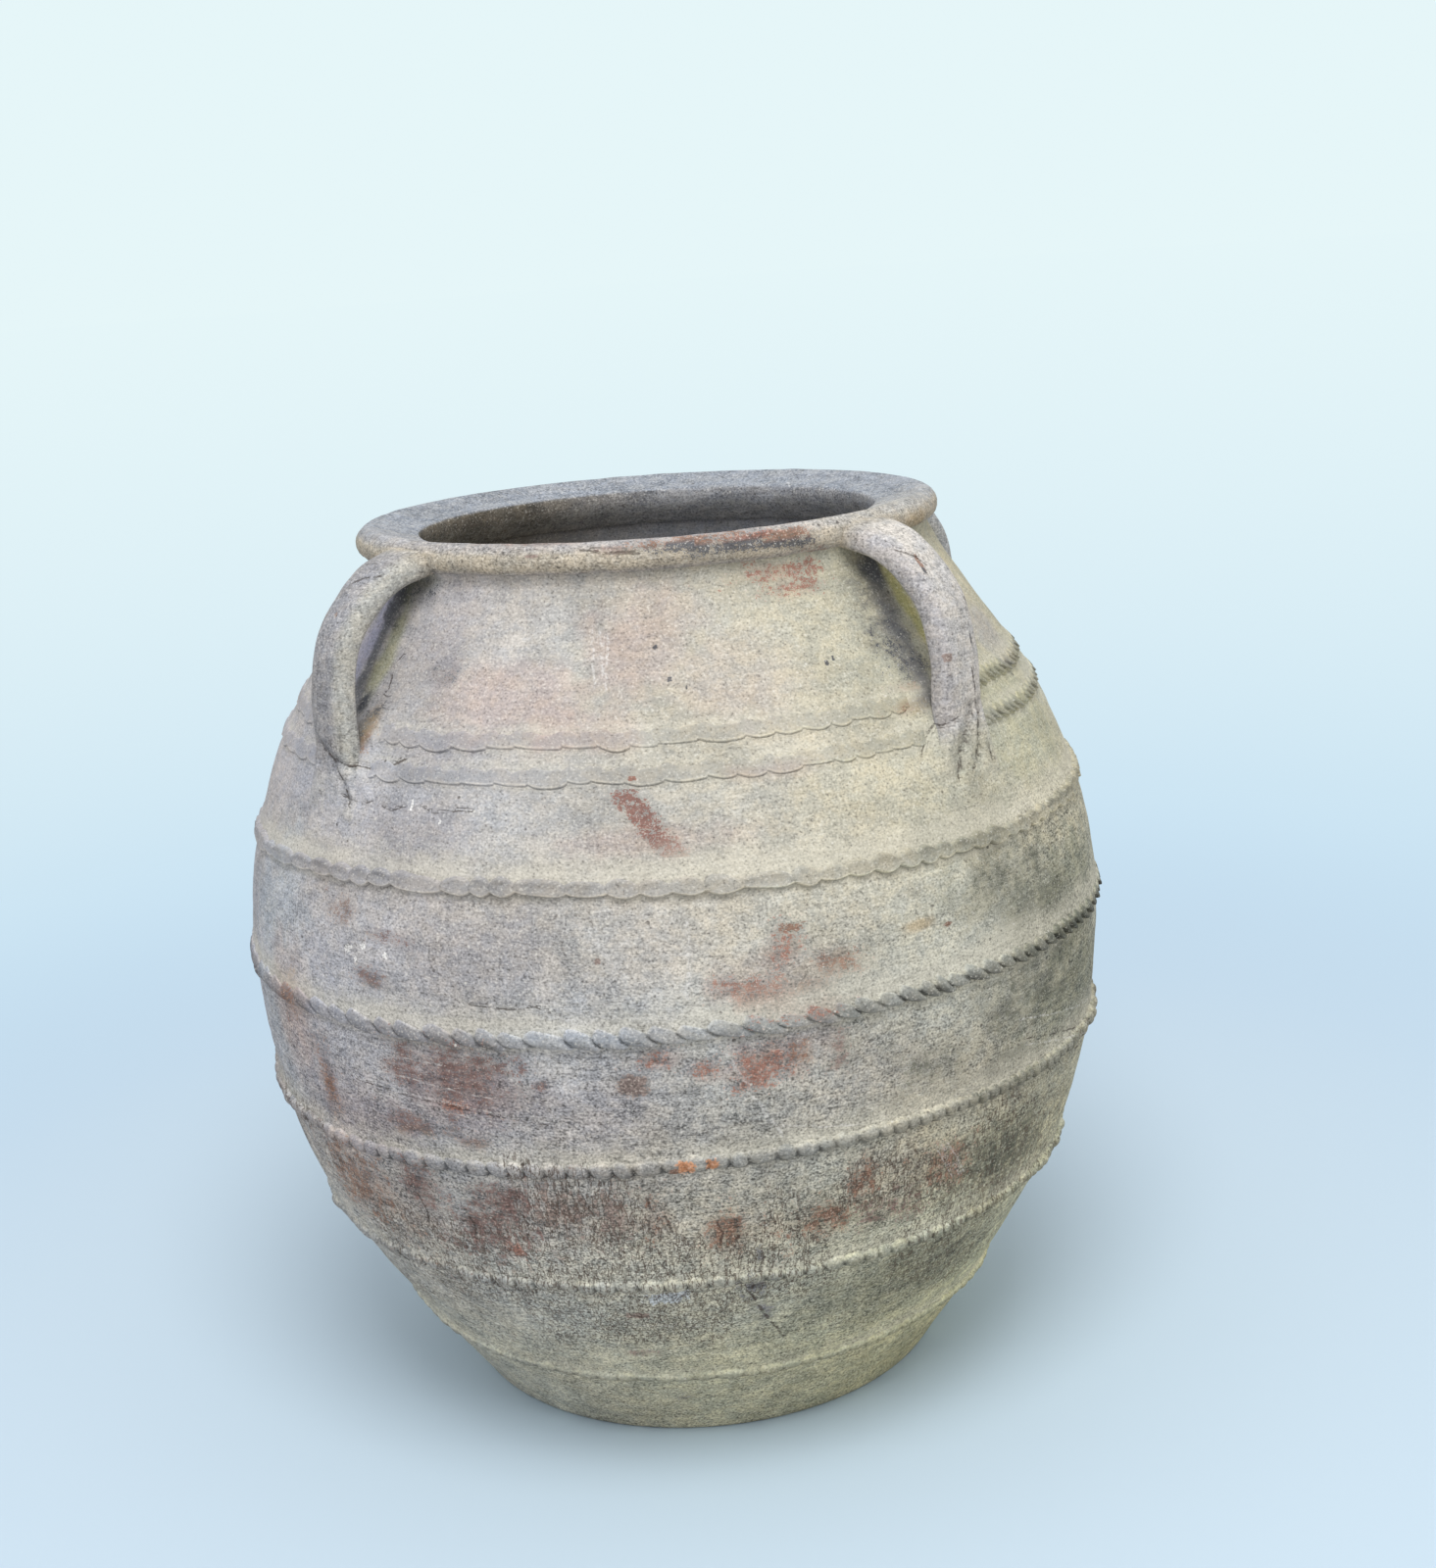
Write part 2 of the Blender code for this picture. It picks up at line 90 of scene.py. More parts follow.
# Clays, as linear colours
KHAKI = (0.52, 0.53, 0.43)
STONE = (0.51, 0.53, 0.485)
UMBER = (0.52, 0.51, 0.455)
GREY = (0.43, 0.42, 0.42)
ASH = (0.49, 0.49, 0.49)
BONE = (0.52, 0.495, 0.455)
PALE_BONE = (0.52, 0.505, 0.485)
CREAM = (0.60, 0.57, 0.44)
PINK = (0.50, 0.405, 0.375)
LILAC = (0.36, 0.35, 0.38)
PALE_LILAC = (0.46, 0.46, 0.58)
VIOLET = (0.27, 0.23, 0.25)
RED_VIOLET = (0.180, 0.110, 0.100)
OLIVE = (0.44, 0.44, 0.28)
DARK_OLIVE = (0.24, 0.25, 0.19)
YELLOW = (0.50, 0.47, 0.19)
OCHRE = (0.38, 0.27, 0.13)
BROWN = (0.25, 0.19, 0.17)
RUST = (0.24, 0.135, 0.095)
ORANGE = (0.62, 0.30, 0.16)
TERRACOTTA = (0.29, 0.140, 0.105)
SOOT = (0.075, 0.08, 0.095)
# Dark grey: painted shade in the gaps between the front straps and the wall, and dark grime where it is
# stippled
SHADE_AND_GRIME = (0.165, 0.17, 0.19)
MOSS = (0.125, 0.13, 0.10)
WHITE = (0.80, 0.80, 0.80)
PALE_BLUE = (0.50, 0.56, 0.62)
INSIDE = (0.42, 0.435, 0.47)
INSIDE_BROWN = (0.215, 0.19, 0.15)
# Painted light inside, by height: the inside is made lighter lower down and darker near the top of the mouth
INSIDE_HEIGHTS = (0.45, 0.52, 0.57, 0.60, 0.62)
INSIDE_PAINTED_LIGHT = (1.60, 1.65, 1.80, 1.05, 0.72)
RIM_BLUE = (0.30, 0.325, 0.365)
RIM_GREY = (0.39, 0.375, 0.37)
RIM_LIP = (0.45, 0.41, 0.34)
STRAP_GREY = (0.335, 0.335, 0.355)
STRAP_PALE = (0.525, 0.51, 0.49)
STRAP_EDGE = (0.49, 0.49, 0.42)
STRAP_GREEN = (0.36, 0.39, 0.36)

# The body's clay by height
BODY_HEIGHTS = (0.00, 0.075, 0.13, 0.20, 0.28, 0.36, 0.43, 0.48, 0.54, 0.62)
BODY_CLAYS = (KHAKI, KHAKI, STONE, UMBER, GREY, ASH, BONE, PALE_BONE, BONE, BONE)
# How strong the grain is, by height outside and all over the inside
GRAIN_HEIGHTS = (0.00, 0.07, 0.10, 0.20, 0.26, 0.33, 0.37, 0.44, 0.50)
GRAIN_GAINS = (1.60, 1.60, 1.80, 2.20, 1.90, 1.55, 1.25, 0.95, 0.70)
INSIDE_GRAIN = 0.75
# What the clay is multiplied by on the left and on the right of the front: a painted cool, dimmer light on
# the left, yellowish dust on the right
LEFT_PAINTED_COOL_LIGHT = (0.86, 0.88, 0.98)
RIGHT_CAST = (0.965, 0.965, 0.795)

# What the clay is multiplied by on the strips, on their pale ledges of dust and painted highlight, and under
# dust
STRIP_GAIN = (0.95, 0.955, 0.97)
LEDGE_HIGHLIGHT_AND_DUST_GAIN = (1.40, 1.37, 1.26)
DUST_GAIN = (1.26, 1.26, 1.22)

# The fine grain's colours: what it multiplies the clay by, then what it lays over it
COOL = (0.975, 0.99, 1.025)
WARM = (1.025, 1.0, 0.97)
DUST = (0.59, 0.565, 0.485)
PALE_SPECK = (0.70, 0.69, 0.64)
DARK_SPECK = (0.13, 0.12, 0.11)
PIT = (0.07, 0.06, 0.055)
VEIN = (0.105, 0.065, 0.048)
HAIR = (0.12, 0.11, 0.10)
DARK_GRIT = (0.09, 0.08, 0.075)
PALE_GRIT = (0.76, 0.75, 0.70)
CRACK = (0.085, 0.060, 0.050)
SCUFF_RED = (0.23, 0.105, 0.085)
# The least light under the grain, how glossy the clay is and how deep its grain, in metres
DARKEST = 0.25
SPECULAR = 0.22
GRAIN_DEPTH = 0.0011
# The grain's noises: size in metres, detail, roughness and how they are squeezed along each axis
SPECKS = (0.0013, 2.0, 0.60, (0.75, 0.75, 1.0))
GRAIN = (0.0032, 5.0, 0.75, (0.82, 0.82, 1.0))
BLOTCHES = (0.0100, 7.0, 0.68, (0.75, 0.75, 1.0))
BROAD_BLOTCHES = (0.0340, 7.0, 0.62)
WIPED_LINES = (0.0020, 4.0, 0.65, (0.10, 0.10, 1.0))
STREAKS = (0.0060, 7.0, 0.72, (0.45, 0.45, 1.0))
DRAWN_LINES = (0.0042, 3.0, 0.60, (1.0, 1.0, 0.22))


def marks_in_metres(rows):
    """Placed marks whose heights and half sizes are given in millimetres."""
    return tuple((row[0], *(length / 1000 for length in row[1:4]), *row[4:]) for row in rows)


def lines_in_metres(rows):
    """Placed lines whose half widths, depths and heights are given in millimetres."""
    return tuple((*(length / 1000 for length in row[:-1]), tuple((a, z / 1000) for a, z in row[-1]))
                 for row in rows)


# Placed soft patches: degrees off the front, height, half width, half height, strength, clay. The soot and
# shade patches by the front straps are painted shade in the gaps between strap and wall
PATCHES = marks_in_metres((
    (45, 594, 11, 15, 0.9, SOOT), (43.8, 574, 11, 28, 0.72, SHADE_AND_GRIME), (42, 548, 11, 30, 0.64, SHADE_AND_GRIME),
    (41.6, 522, 8, 13, 0.9, SHADE_AND_GRIME), (48.6, 568, 7, 42, 0.8, YELLOW), (37.5, 513, 13, 5, 0.4, OCHRE),
    (-53.4, 594, 12, 11, 0.95, SOOT), (-58.6, 568, 12, 36, 0.95, PALE_LILAC),
    (-55.4, 563, 5.5, 34, 0.85, SHADE_AND_GRIME), (-53.8, 540, 9, 12, 0.75, SHADE_AND_GRIME),
    (-51.2, 562, 9, 36, 0.7, OLIVE), (-48.2, 604, 18, 8, 0.6, DARK_OLIVE),
    (-47.4, 516, 9, 12, 0.85, OCHRE), (-51.4, 530, 7, 8, 1, SOOT), (-23, 538, 60, 24, 0.62, PINK),
    (-2, 568, 38, 30, 0.58, PINK), (-10, 522, 40, 12, 0.46, PINK), (12, 545, 40, 25, 0.42, PINK),
    (12, 560, 50, 30, 0.3, STONE), (-24, 395, 60, 30, 0.35, LILAC), (-2, 459, 60, 10, 0.45, PINK),
    (14, 492, 30, 6, 0.4, PINK), (-35.7, 552, 12, 9, 0.25, SHADE_AND_GRIME), (-40, 575, 30, 30, 0.45, LILAC),
    (-34, 508, 40, 10, 0.4, LILAC), (-34, 462, 50, 20, 0.35, LILAC), (62, 470, 75, 32, 0.35, OLIVE),
    (60, 510, 60, 22, 0.45, OLIVE), (28, 470, 60, 22, 0.45, CREAM), (24, 560, 45, 40, 0.25, CREAM),
    (68, 540, 30, 30, 0.5, LILAC), (-6, 392, 50, 22, 0.55, BONE), (30, 385, 50, 20, 0.2, CREAM),
    (60, 365, 85, 40, 0.85, DARK_OLIVE), (60, 295, 90, 35, 0.75, DARK_OLIVE),
    (42, 215, 70, 26, 0.6, DARK_OLIVE), (36, 125, 60, 36, 0.65, DARK_OLIVE),
    (-62, 390, 50, 60, 0.55, PALE_BLUE), (-66, 300, 40, 60, 0.4, PALE_BLUE),
    (-27, 302, 60, 26, 0.45, VIOLET), (-45, 270, 50, 30, 0.5, VIOLET),
    (-14, 345, 60, 6, 0.4, PALE_BLUE), (-12, 300, 40, 20, 0.35, LILAC),
    (12, 335, 40, 12, 0.35, VIOLET), (-20, 215, 60, 26, 0.28, BROWN),
    (-42, 205, 50, 30, 0.32, BROWN), (4, 205, 50, 20, 0.2, BROWN), (24, 225, 40, 24, 0.25, BROWN),
    (20, 300, 50, 25, 0.35, BONE), (28, 130, 80, 34, 0.6, DARK_OLIVE),
    (40, 440, 60, 30, 0.3, DARK_OLIVE), (-58, 330, 34, 50, 0.6, PINK),
    (-50, 245, 20, 10, 0.4, PINK), (29.5, 388, 12, 4, 0.5, OCHRE),
    (11, 376, 42, 18, 0.2, TERRACOTTA), (-27, 306, 48, 20, 0.18, RED_VIOLET),
    (10, 322, 36, 14, 0.14, TERRACOTTA), (38, 398, 36, 18, 0.16, DARK_OLIVE),
))
# Placed crisp marks: degrees off the front, height, half width, half height, clay
CHIPS = marks_in_metres((
    (-6.5, 313.9, 9.8, 7.1, BROWN), (33.5, 383, 4, 1.6, RUST), (-1.2, 257, 5.8, 4.6, ORANGE),
    (1.9, 257, 4.4, 3.6, ORANGE), (-2.6, 255, 3, 2.4, RUST), (-4.5, 495, 2.4, 1.4, TERRACOTTA),
    (-43.8, 387, 3.6, 3, WHITE), (-41.1, 390, 2.6, 2.2, WHITE), (-37.4, 387, 2.6, 2.2, WHITE),
    (-42.4, 381, 1.8, 1.8, WHITE), (-35.4, 478, 1.2, 3.6, WHITE), (-30.5, 470, 1.2, 1.6, WHITE),
    (-5, 151, 13, 5, PALE_BLUE), (-3.4, 156, 7, 3, PALE_BLUE), (-10, 134, 7, 3, BROWN),
    (41.4, 516, 5, 8, SOOT), (42.2, 507, 4, 4, SOOT), (-0.3, 565, 1.6, 1.4, SOOT),
    (1.5, 547, 1.8, 1.5, SOOT), (26.6, 545, 2, 1.6, SOOT), (28, 547, 1.2, 1, SOOT),
    (3.9, 542, 1, 1, SOOT), (-9.5, 392, 2, 2, BROWN),
))
# Placed stippled marks: degrees off the front, height, half width, half height, how dense, clay
STIPPLES = marks_in_metres((
    (23, 600, 24, 6, 0.32, TERRACOTTA), (26, 590, 20, 5, 0.28, TERRACOTTA),
    (38.5, 523, 12, 3, 0.34, RUST), (36, 512, 12, 4, 0.22, RUST),
    (9.6, 364.3, 18, 10, 0.34, TERRACOTTA), (5.2, 370.2, 14, 8, 0.28, TERRACOTTA),
    (14.4, 365.8, 13, 6, 0.29, RUST), (18.3, 375.8, 17, 8, 0.31, RUST),
    (11.3, 390.2, 12, 13.5, 0.23, TERRACOTTA), (14, 352, 26, 6, 0.31, TERRACOTTA),
    (8.2, 320, 19, 12.5, 0.35, TERRACOTTA), (12.9, 326, 9, 9.6, 0.28, RUST),
    (1.8, 319.9, 12, 8, 0.29, TERRACOTTA), (17.1, 322.4, 8.4, 15.5, 0.27, BROWN),
    (-3.4, 329.6, 15, 7.5, 0.3, TERRACOTTA), (-17.3, 313.5, 4.5, 3.6, 0.32, RED_VIOLET),
    (-27.4, 316.2, 32, 19.5, 0.34, RED_VIOLET), (-35.2, 318.2, 14, 16, 0.3, RED_VIOLET),
    (-27.8, 294.9, 18, 4.5, 0.31, TERRACOTTA), (-34.6, 275.3, 24, 8, 0.31, RED_VIOLET),
    (-26.9, 268.7, 11, 5.6, 0.3, RED_VIOLET), (-50.9, 285.3, 11, 27, 0.31, RUST),
    (-58, 340, 14, 18, 0.26, RUST), (-50.6, 213.3, 36, 28, 0.29, RUST),
    (-37.3, 229.8, 14, 16, 0.31, RED_VIOLET), (-28.4, 204.6, 33, 25.5, 0.27, RED_VIOLET),
    (-24.6, 230.7, 19, 12, 0.31, RED_VIOLET), (-24.7, 189.3, 9, 9.3, 0.32, TERRACOTTA),
    (-16.6, 224.1, 17, 16.5, 0.3, BROWN), (-10.4, 220.4, 11, 19.5, 0.31, BROWN),
    (-5.3, 219.8, 8.8, 16.3, 0.27, RUST), (3.1, 203.9, 10.4, 15.7, 0.29, RUST),
    (15.6, 203.3, 20.9, 18.3, 0.27, RUST), (20.2, 221.9, 12.7, 16.4, 0.3, RUST),
    (24.1, 198.2, 22.9, 11.4, 0.32, RED_VIOLET), (33.4, 217.5, 21.4, 16.6, 0.29, RUST),
    (6.5, 156, 6, 9, 0.36, SHADE_AND_GRIME), (7.4, 183, 4, 5, 0.34, SHADE_AND_GRIME), (8.4, 128, 5, 10, 0.26, SHADE_AND_GRIME),
    (-11, 94, 14, 3, 0.26, BROWN), (-6, 40, 8, 3, 0.24, SHADE_AND_GRIME), (-36.5, 550, 14, 8, 0.18, SHADE_AND_GRIME),
    (-48.8, 520, 10, 14, 0.3, SOOT), (-46.8, 512, 8, 11, 0.26, RUST), (-49, 598, 14, 9, 0.28, SOOT),
    (-45.5, 596, 10, 8, 0.22, SOOT), (40.5, 535, 16, 24, 0.26, SOOT), (40, 515, 9, 5, 0.3, SOOT),
    (-38, 399, 20, 5, 0.22, RED_VIOLET), (-40, 370, 16, 6, 0.24, RED_VIOLET),
    (12.5, 402, 8, 3, 0.28, RUST), (-46, 410, 16, 10, 0.22, BROWN), (46, 400, 60, 24, 0.2, MOSS),
    (50, 370, 60, 24, 0.24, MOSS), (48, 318, 60, 26, 0.26, MOSS), (44, 265, 60, 20, 0.22, MOSS),
    (46, 195.6, 45, 30, 0.24, MOSS), (30, 290, 40, 26, 0.16, MOSS),
))
# How boxy the marks are: 2 is an ellipse
MARK_POWER = 3.0
# How strongly a stippled mark tints the clay between its dots, as a share of how dense it is
STIPPLE_GROUND = 0.85
# Placed wear of the wall and the rim, then the rim's and the straps' own marks, given alike
WORN_RED = marks_in_metres((
    (16.5, 372, 30, 12, 0.26), (9.7, 320, 20, 12, 0.28), (-27, 305, 40, 20, 0.3),
    (-50.6, 280, 10, 36, 0.3), (-36, 273, 30, 10, 0.3), (22, 215, 30, 28, 0.28),
    (-35, 200, 40, 30, 0.28), (6, 193, 50, 24, 0.26), (-62, 320, 24, 40, 0.28),
))
RIM_RED = marks_in_metres((
    (5, 625, 18, 6, 0.3), (18, 625, 38, 5, 0.38), (12, 622, 24, 4, 0.28), (34, 612, 18, 6, 0.34),
    (-30, 625, 30, 4, 0.22), (26, 620, 16, 3, 0.45),
))
RIM_PATCHES = marks_in_metres((
    (-6, 624.5, 12, 2.5, 0.6, BROWN), (60, 615, 30, 6, 0.5, OCHRE), (-18, 629, 20, 1.2, 0.5, BROWN),
    (20, 621.5, 30, 2.4, 0.35, BROWN),
))
RIM_CHIPS = marks_in_metres((
    (31, 606, 1.4, 1.4, SOOT), (-21, 623, 6, 1, BROWN),
))
RIM_STIPPLES = marks_in_metres((
    (11, 626, 22, 2.2, 0.46, RUST), (18, 624.8, 20, 2.2, 0.48, TERRACOTTA),
    (7.5, 623.4, 18, 2.4, 0.52, SOOT), (14, 621, 18, 2.8, 0.56, SOOT),
    (22, 620, 18, 2.6, 0.54, SOOT), (27.5, 617.2, 14, 2.2, 0.5, SOOT),
    (24, 623.8, 18, 2.4, 0.48, RUST), (2, 626, 18, 1.8, 0.36, RUST), (-8, 624, 16, 2, 0.26, BROWN),
    (-24, 629, 30, 1.4, 0.24, BROWN), (30, 612, 12, 4, 0.22, RUST),
))
RIM_LINES = lines_in_metres((
    (0.7, ((-12, 625), (-7.6, 622.5), (-2.2, 621.2))),
))
STRAP_LINES = lines_in_metres((
    (0.7, ((-52.5, 608), (-50.5, 611), (-48, 612))), (0.6, ((45.5, 533), (46.3, 515), (46.6, 500))),
    (0.6, ((47.5, 575), (49, 555), (49.3, 535))), (0.5, ((40.5, 608), (42.5, 604), (43.5, 598))),
))
STRAP_CHIPS = marks_in_metres((
    (41.3, 542, 3, 2.8, BROWN), (42.6, 601, 1.6, 5, RUST), (42.3, 595, 1.2, 3, SOOT),
    (46.4, 550, 1.4, 5, SOOT), (41.5, 573, 0.9, 0.9, SHADE_AND_GRIME), (42, 580, 0.9, 0.9, SHADE_AND_GRIME),
    (-51.8, 590, 2, 2, BROWN), (-55.5, 588, 4.5, 1.2, RUST), (-52, 540, 1.2, 1.2, SOOT),
    (-56.5, 486, 1.6, 6, RUST),
))
# The long scuff on the shoulder, in metres: its ends, half width, how dense and its clay
SCUFF = ((-6.0, 0.489), (0.6, 0.448), 0.0080, 0.34, SCUFF_RED)
# Placed soot; the first two, by the front straps, are also painted shade in the gaps behind them
SOOTY = marks_in_metres((
    (40, 570, 22, 45, 0.3), (-55, 585, 16, 20, 0.4), (36, 270, 30, 10, 0.2), (7, 160, 6, 14, 0.25),
))
# Fine dark lines: half width, then points as degrees off the front and height. These first ones follow the
# roots' finger grooves and are painted shade in them; the further dark lines are cracks and folds
ROOT_GROOVE_SHADE_LINES = lines_in_metres((
    (0.6, ((-57.2, 500.5), (-57.7, 495.7), (-57.2, 488.1))),
    (0.6, ((-52.8, 506.2), (-50, 499.6), (-47.8, 486.2), (-46.9, 473.2))),
    (0.5, ((-49.5, 500.4), (-46.6, 496.1), (-44.3, 494.2), (-41.6, 496.1), (-38.5, 502.5))),
    (0.3, ((-48, 477.6), (-44.7, 473.5), (-42.1, 477.9), (-41, 474.8), (-39, 472.7), (-36.9, 476),
           (-33.8, 477.9), (-31.8, 474.1), (-27.7, 476.8), (-25.8, 476.9))),
    (0.5, ((42.6, 502.9), (39.4, 499.2), (37.1, 488.9), (35.7, 480.1))),
    (0.8, ((45.2, 502.3), (43.6, 489.8), (41.8, 477.7), (41.3, 464.8))),
    (0.8, ((47.4, 501.1), (46.6, 491.1), (46, 480), (44.9, 470.7), (44, 468))),
    (0.5, ((50.1, 506.8), (49.5, 493.7))), (0.4, ((48.3, 477.1), (48.7, 467.2))),
))
DARK_LINES = ROOT_GROOVE_SHADE_LINES + lines_in_metres((
    (0.5, ((-47, 559.9), (-47.8, 555.7), (-48.5, 553.7))), (0.6, ((-47.5, 547.2), (-47.1, 540.6))),
    (0.5, ((-47.4, 537.1), (-46.6, 535.7), (-45.8, 536.6))),
    (0.3, ((-25.1, 363.1), (-21.9, 362.5), (-20.1, 361.8), (-17.1, 364.2), (-15.4, 360.8))),
    (0.8, ((7.8, 182.6), (6.8, 163), (5.9, 150.7), (7.9, 129.1), (11.9, 97.5))),
    (0.3, ((-45.1, 299), (-29.3, 294.2), (-16.8, 287))),
    (0.8, ((-6.3, 236), (-5.9, 226), (-6.4, 214), (-5.8, 204))),
    (0.8, ((-3.9, 232), (-4.3, 222), (-3.6, 208))), (0.7, ((2, 212), (2.6, 204), (2.1, 194))),
    (0.8, ((4.2, 214), (4.6, 203), (4, 192))), (0.7, ((-22.5, 222), (-21.9, 212), (-22.4, 200))),
    (0.8, ((-30.5, 216), (-29.8, 204), (-30.4, 192))), (0.7, ((12, 212), (12.5, 202), (11.8, 190))),
    (0.7, ((-13.4, 228), (-12.8, 218), (-13.5, 206))),
    (0.7, ((-38, 222), (-37.2, 208), (-37.9, 196))), (0.5, ((50.1, 264.5), (65.3, 242.3))),
    (0.5, ((46.3, 285.7), (67, 255.9))),
))
# Pale scratches, given like the cracks
PALE_LINES = lines_in_metres((
    (1.4, ((1, 412.6), (0.9, 389.6), (0.3, 366.5))),
    (1.2, ((4.2, 330.1), (7.2, 298.9), (10.4, 269.6))),
    (1.6, ((-10.4, 409.9), (-8.3, 395.2), (-6.2, 380.3))), (0.8, ((-10.7, 578), (-9.9, 545.6))),
    (0.8, ((-9.3, 575.1), (-8.6, 550.7))), (0.8, ((-8, 572.1), (-8.1, 542.7))),
    (0.5, ((30.9, 235.7), (34.5, 206.3))), (0.5, ((31.8, 235.5), (35.7, 205.5))),
    (0.5, ((32.8, 235.3), (36.8, 204.9))), (0.6, ((45.1, 301.6), (69.8, 268.7))),
    (0.6, ((46.8, 280), (66, 252))), (0.6, ((-45.1, 300.9), (-29.3, 296.2), (-16.8, 288.9))),
    (0.5, ((-41.7, 293.2), (-29.5, 289.3), (-19.3, 284.1))),
    (0.6, ((-46.6, 309.3), (-34.7, 308.7), (-23.8, 302.9))),
    (0.8, ((10.5, 277.6), (15.2, 271.6), (20.2, 267.8))), (0.6, ((-39, 323), (-30, 321.5))),
    (0.6, ((-12, 125), (2, 119))),
))
# How far from a placed line its field is kept, in half widths and in metres
LINE_FIELD = 5.0
LINE_NEAR = 0.0012
LINE_FAR = 0.0032

# How finely the shapes are meshed: rows and columns, and steps in metres
WALL_COLUMNS = 1200
OUTSIDE_STEP = 0.0018
INSIDE_STEP = 0.0060
STRIP_COLUMNS = 2300
STRIP_ROWS = 41
HANDLE_STEPS = 120
HANDLE_SIDES = 56

# The wall, in metres
WALL_NODES = ("base_slab", "lower_wall", "belly_wall", "shoulder_wall", "rim_ring")
WALL_THICKNESS = 0.016
FOOT_BEVEL = 0.004
SHOULDER_TOP = 0.6125
WIDEST = 0.3121
BASE_THICKNESS = 0.020
FLOOR_ROUNDING = 0.012
# The rim's section from under its lip over its top into the mouth: radii and heights
RIM_SECTION = (
    (0.1945, 0.6080), (0.1975, 0.6098), (0.2005, 0.6106), (0.2030, 0.6122), (0.2047, 0.6143),
    (0.2057, 0.6170), (0.2058, 0.6200), (0.2050, 0.6230), (0.2032, 0.6258), (0.2005, 0.6282),
    (0.1972, 0.6294), (0.1938, 0.6294), (0.1900, 0.6285), (0.1850, 0.6270), (0.1800, 0.6255),
    (0.1750, 0.6240), (0.1705, 0.6230), (0.1668, 0.6223), (0.1642, 0.6217), (0.1627, 0.6209),
    (0.1619, 0.6198), (0.1616, 0.6184), (0.1616, 0.6160), (0.1622, 0.6125), (0.1640, 0.6085),
    (0.1670, 0.6045), (0.1710, 0.6005), (0.1760, 0.5965), (0.1810, 0.5930), (0.1880, 0.5930),
)

# How far a strip's own edges are sunk in the wall, and the radius its noises are read at
STRIP_BURIED = 0.0045
STRIP_RADIUS = 0.3
# How much more closely the lobes sit on the right: where that starts and ends, and by how much
CROWD = (0.2, 1.4, 0.35)

# Strips by node: how they are pressed, pitch, half width and rise
STRIPS = {
    "top_flat_strip": ("flat", 0.0210, 0.0066, 0.0015),
    "second_flat_strip": ("flat", 0.0210, 0.0066, 0.0015),
    "shoulder_thumbed_strip": ("wave", 0.0220, 0.0074, 0.0042),
    "belly_thumbed_strip": ("leaf", 0.0185, 0.0076, 0.0048),
    "under_belly_thumbed_strip": ("bead", 0.0140, 0.0066, 0.0050),
    "lower_thumbed_strip": ("bead", 0.0145, 0.0064, 0.0048),
    "foot_thumbed_strip": ("soft", 0.0140, 0.0056, 0.0040),
}

# Handles by node: angle from +X in degrees
HANDLES = {
    "handle_front_left": -90.0,
    "handle_front_right": 6.0,
    "handle_back_right": 84.7,
    "handle_back_left": 177.5,
}
# The straps' clay, and the clay along their inner edge
STRAP_CLAYS = {
    "handle_front_left": (STRAP_GREY, STRAP_EDGE),
    "handle_front_right": (STRAP_PALE, LILAC),
    "handle_back_right": (STRAP_GREEN, LILAC),
    "handle_back_left": (STRAP_GREY, LILAC),
}
# The grooves that fingers left in the roots: half width, depth, points as degrees off the front and height
LEFT_GROOVES = lines_in_metres((
    (3, 2, ((-53.5, 510), (-50, 499.6), (-47.8, 486.2), (-46.9, 473.2))),
    (2, 1.8, ((-57.2, 500.5), (-57.7, 495.7), (-57.2, 480.1))),
    (2.4, -1.6, ((-54.5, 500), (-53.5, 480), (-53, 466))),
    (2.2, 1.2, ((-49.5, 500.4), (-46.6, 496.1), (-44.3, 494.2), (-41.6, 496.1), (-38.5, 502.5))),
    (3, -1.4, ((-48.5, 494), (-45, 485), (-43.5, 478))),
    (1.8, 1, ((-48, 477.6), (-44.7, 473.5), (-42.1, 477.9), (-39, 472.7))),
))
RIGHT_GROOVES = lines_in_metres((
    (2.4, 1.2, ((42.6, 502.9), (39.4, 499.2), (37.1, 488.9), (35.7, 480.1))),
    (4, -1.8, ((41.5, 495), (39.6, 484), (38.8, 472))),
    (3.6, 2.6, ((45.2, 508), (44.9, 502.3), (43.4, 489.8), (41.8, 477.7), (41.3, 464.8))),
    (3.4, -1.2, ((46.2, 500), (45, 486), (43.6, 474))),
    (3.2, 2.2, ((47.6, 507), (47.4, 501.1), (46.6, 491.1), (46, 480), (44.9, 470.7))),
    (2, 1.4, ((50.1, 506.8), (49.5, 493.7))), (1.6, 1, ((48.3, 477.1), (48.7, 467.2))),
))
# Which handle's grooves each root has, moved round to it
ROOT_GROOVES = {
    "handle_front_left": ("handle_front_left", LEFT_GROOVES),
    "handle_front_right": ("handle_front_right", RIGHT_GROOVES),
    "handle_back_right": ("handle_front_left", LEFT_GROOVES),
    "handle_back_left": ("handle_front_right", RIGHT_GROOVES),
}
# The straps in metres: how far they stand off, widths, thickness and the heights of their ends
HANDLE_STANDOFF = 0.042
HANDLE_WIDTH = 0.039
HANDLE_TOP_WIDTH = 0.056
HANDLE_ROOT_WIDTH = 0.060
HANDLE_THICKNESS = 0.018
HANDLE_TOP = 0.6175
HANDLE_ROOT = 0.4580
# How softly the wall rises to the roots
ROOT_ROUNDING = 0.0022
# The strap's way down: shares of standoff, fall, top flare, root flare and thickness
HANDLE_WAY_SHARES = (
    (-0.133, 0.000, 1.00, 0.00, 1.10),
    (0.567, 0.053, 0.45, 0.00, 1.05),
    (0.926, 0.135, 0.15, 0.00, 1.00),
    (1.048, 0.273, 0.00, 0.00, 1.00),
    (0.709, 0.480, 0.00, 0.00, 0.97),
    (0.173, 0.700, 0.00, 0.15, 0.95),
    (-0.023, 0.850, 0.00, 0.60, 0.75),
    (-0.119, 1.000, 0.00, 1.00, 0.45),
)


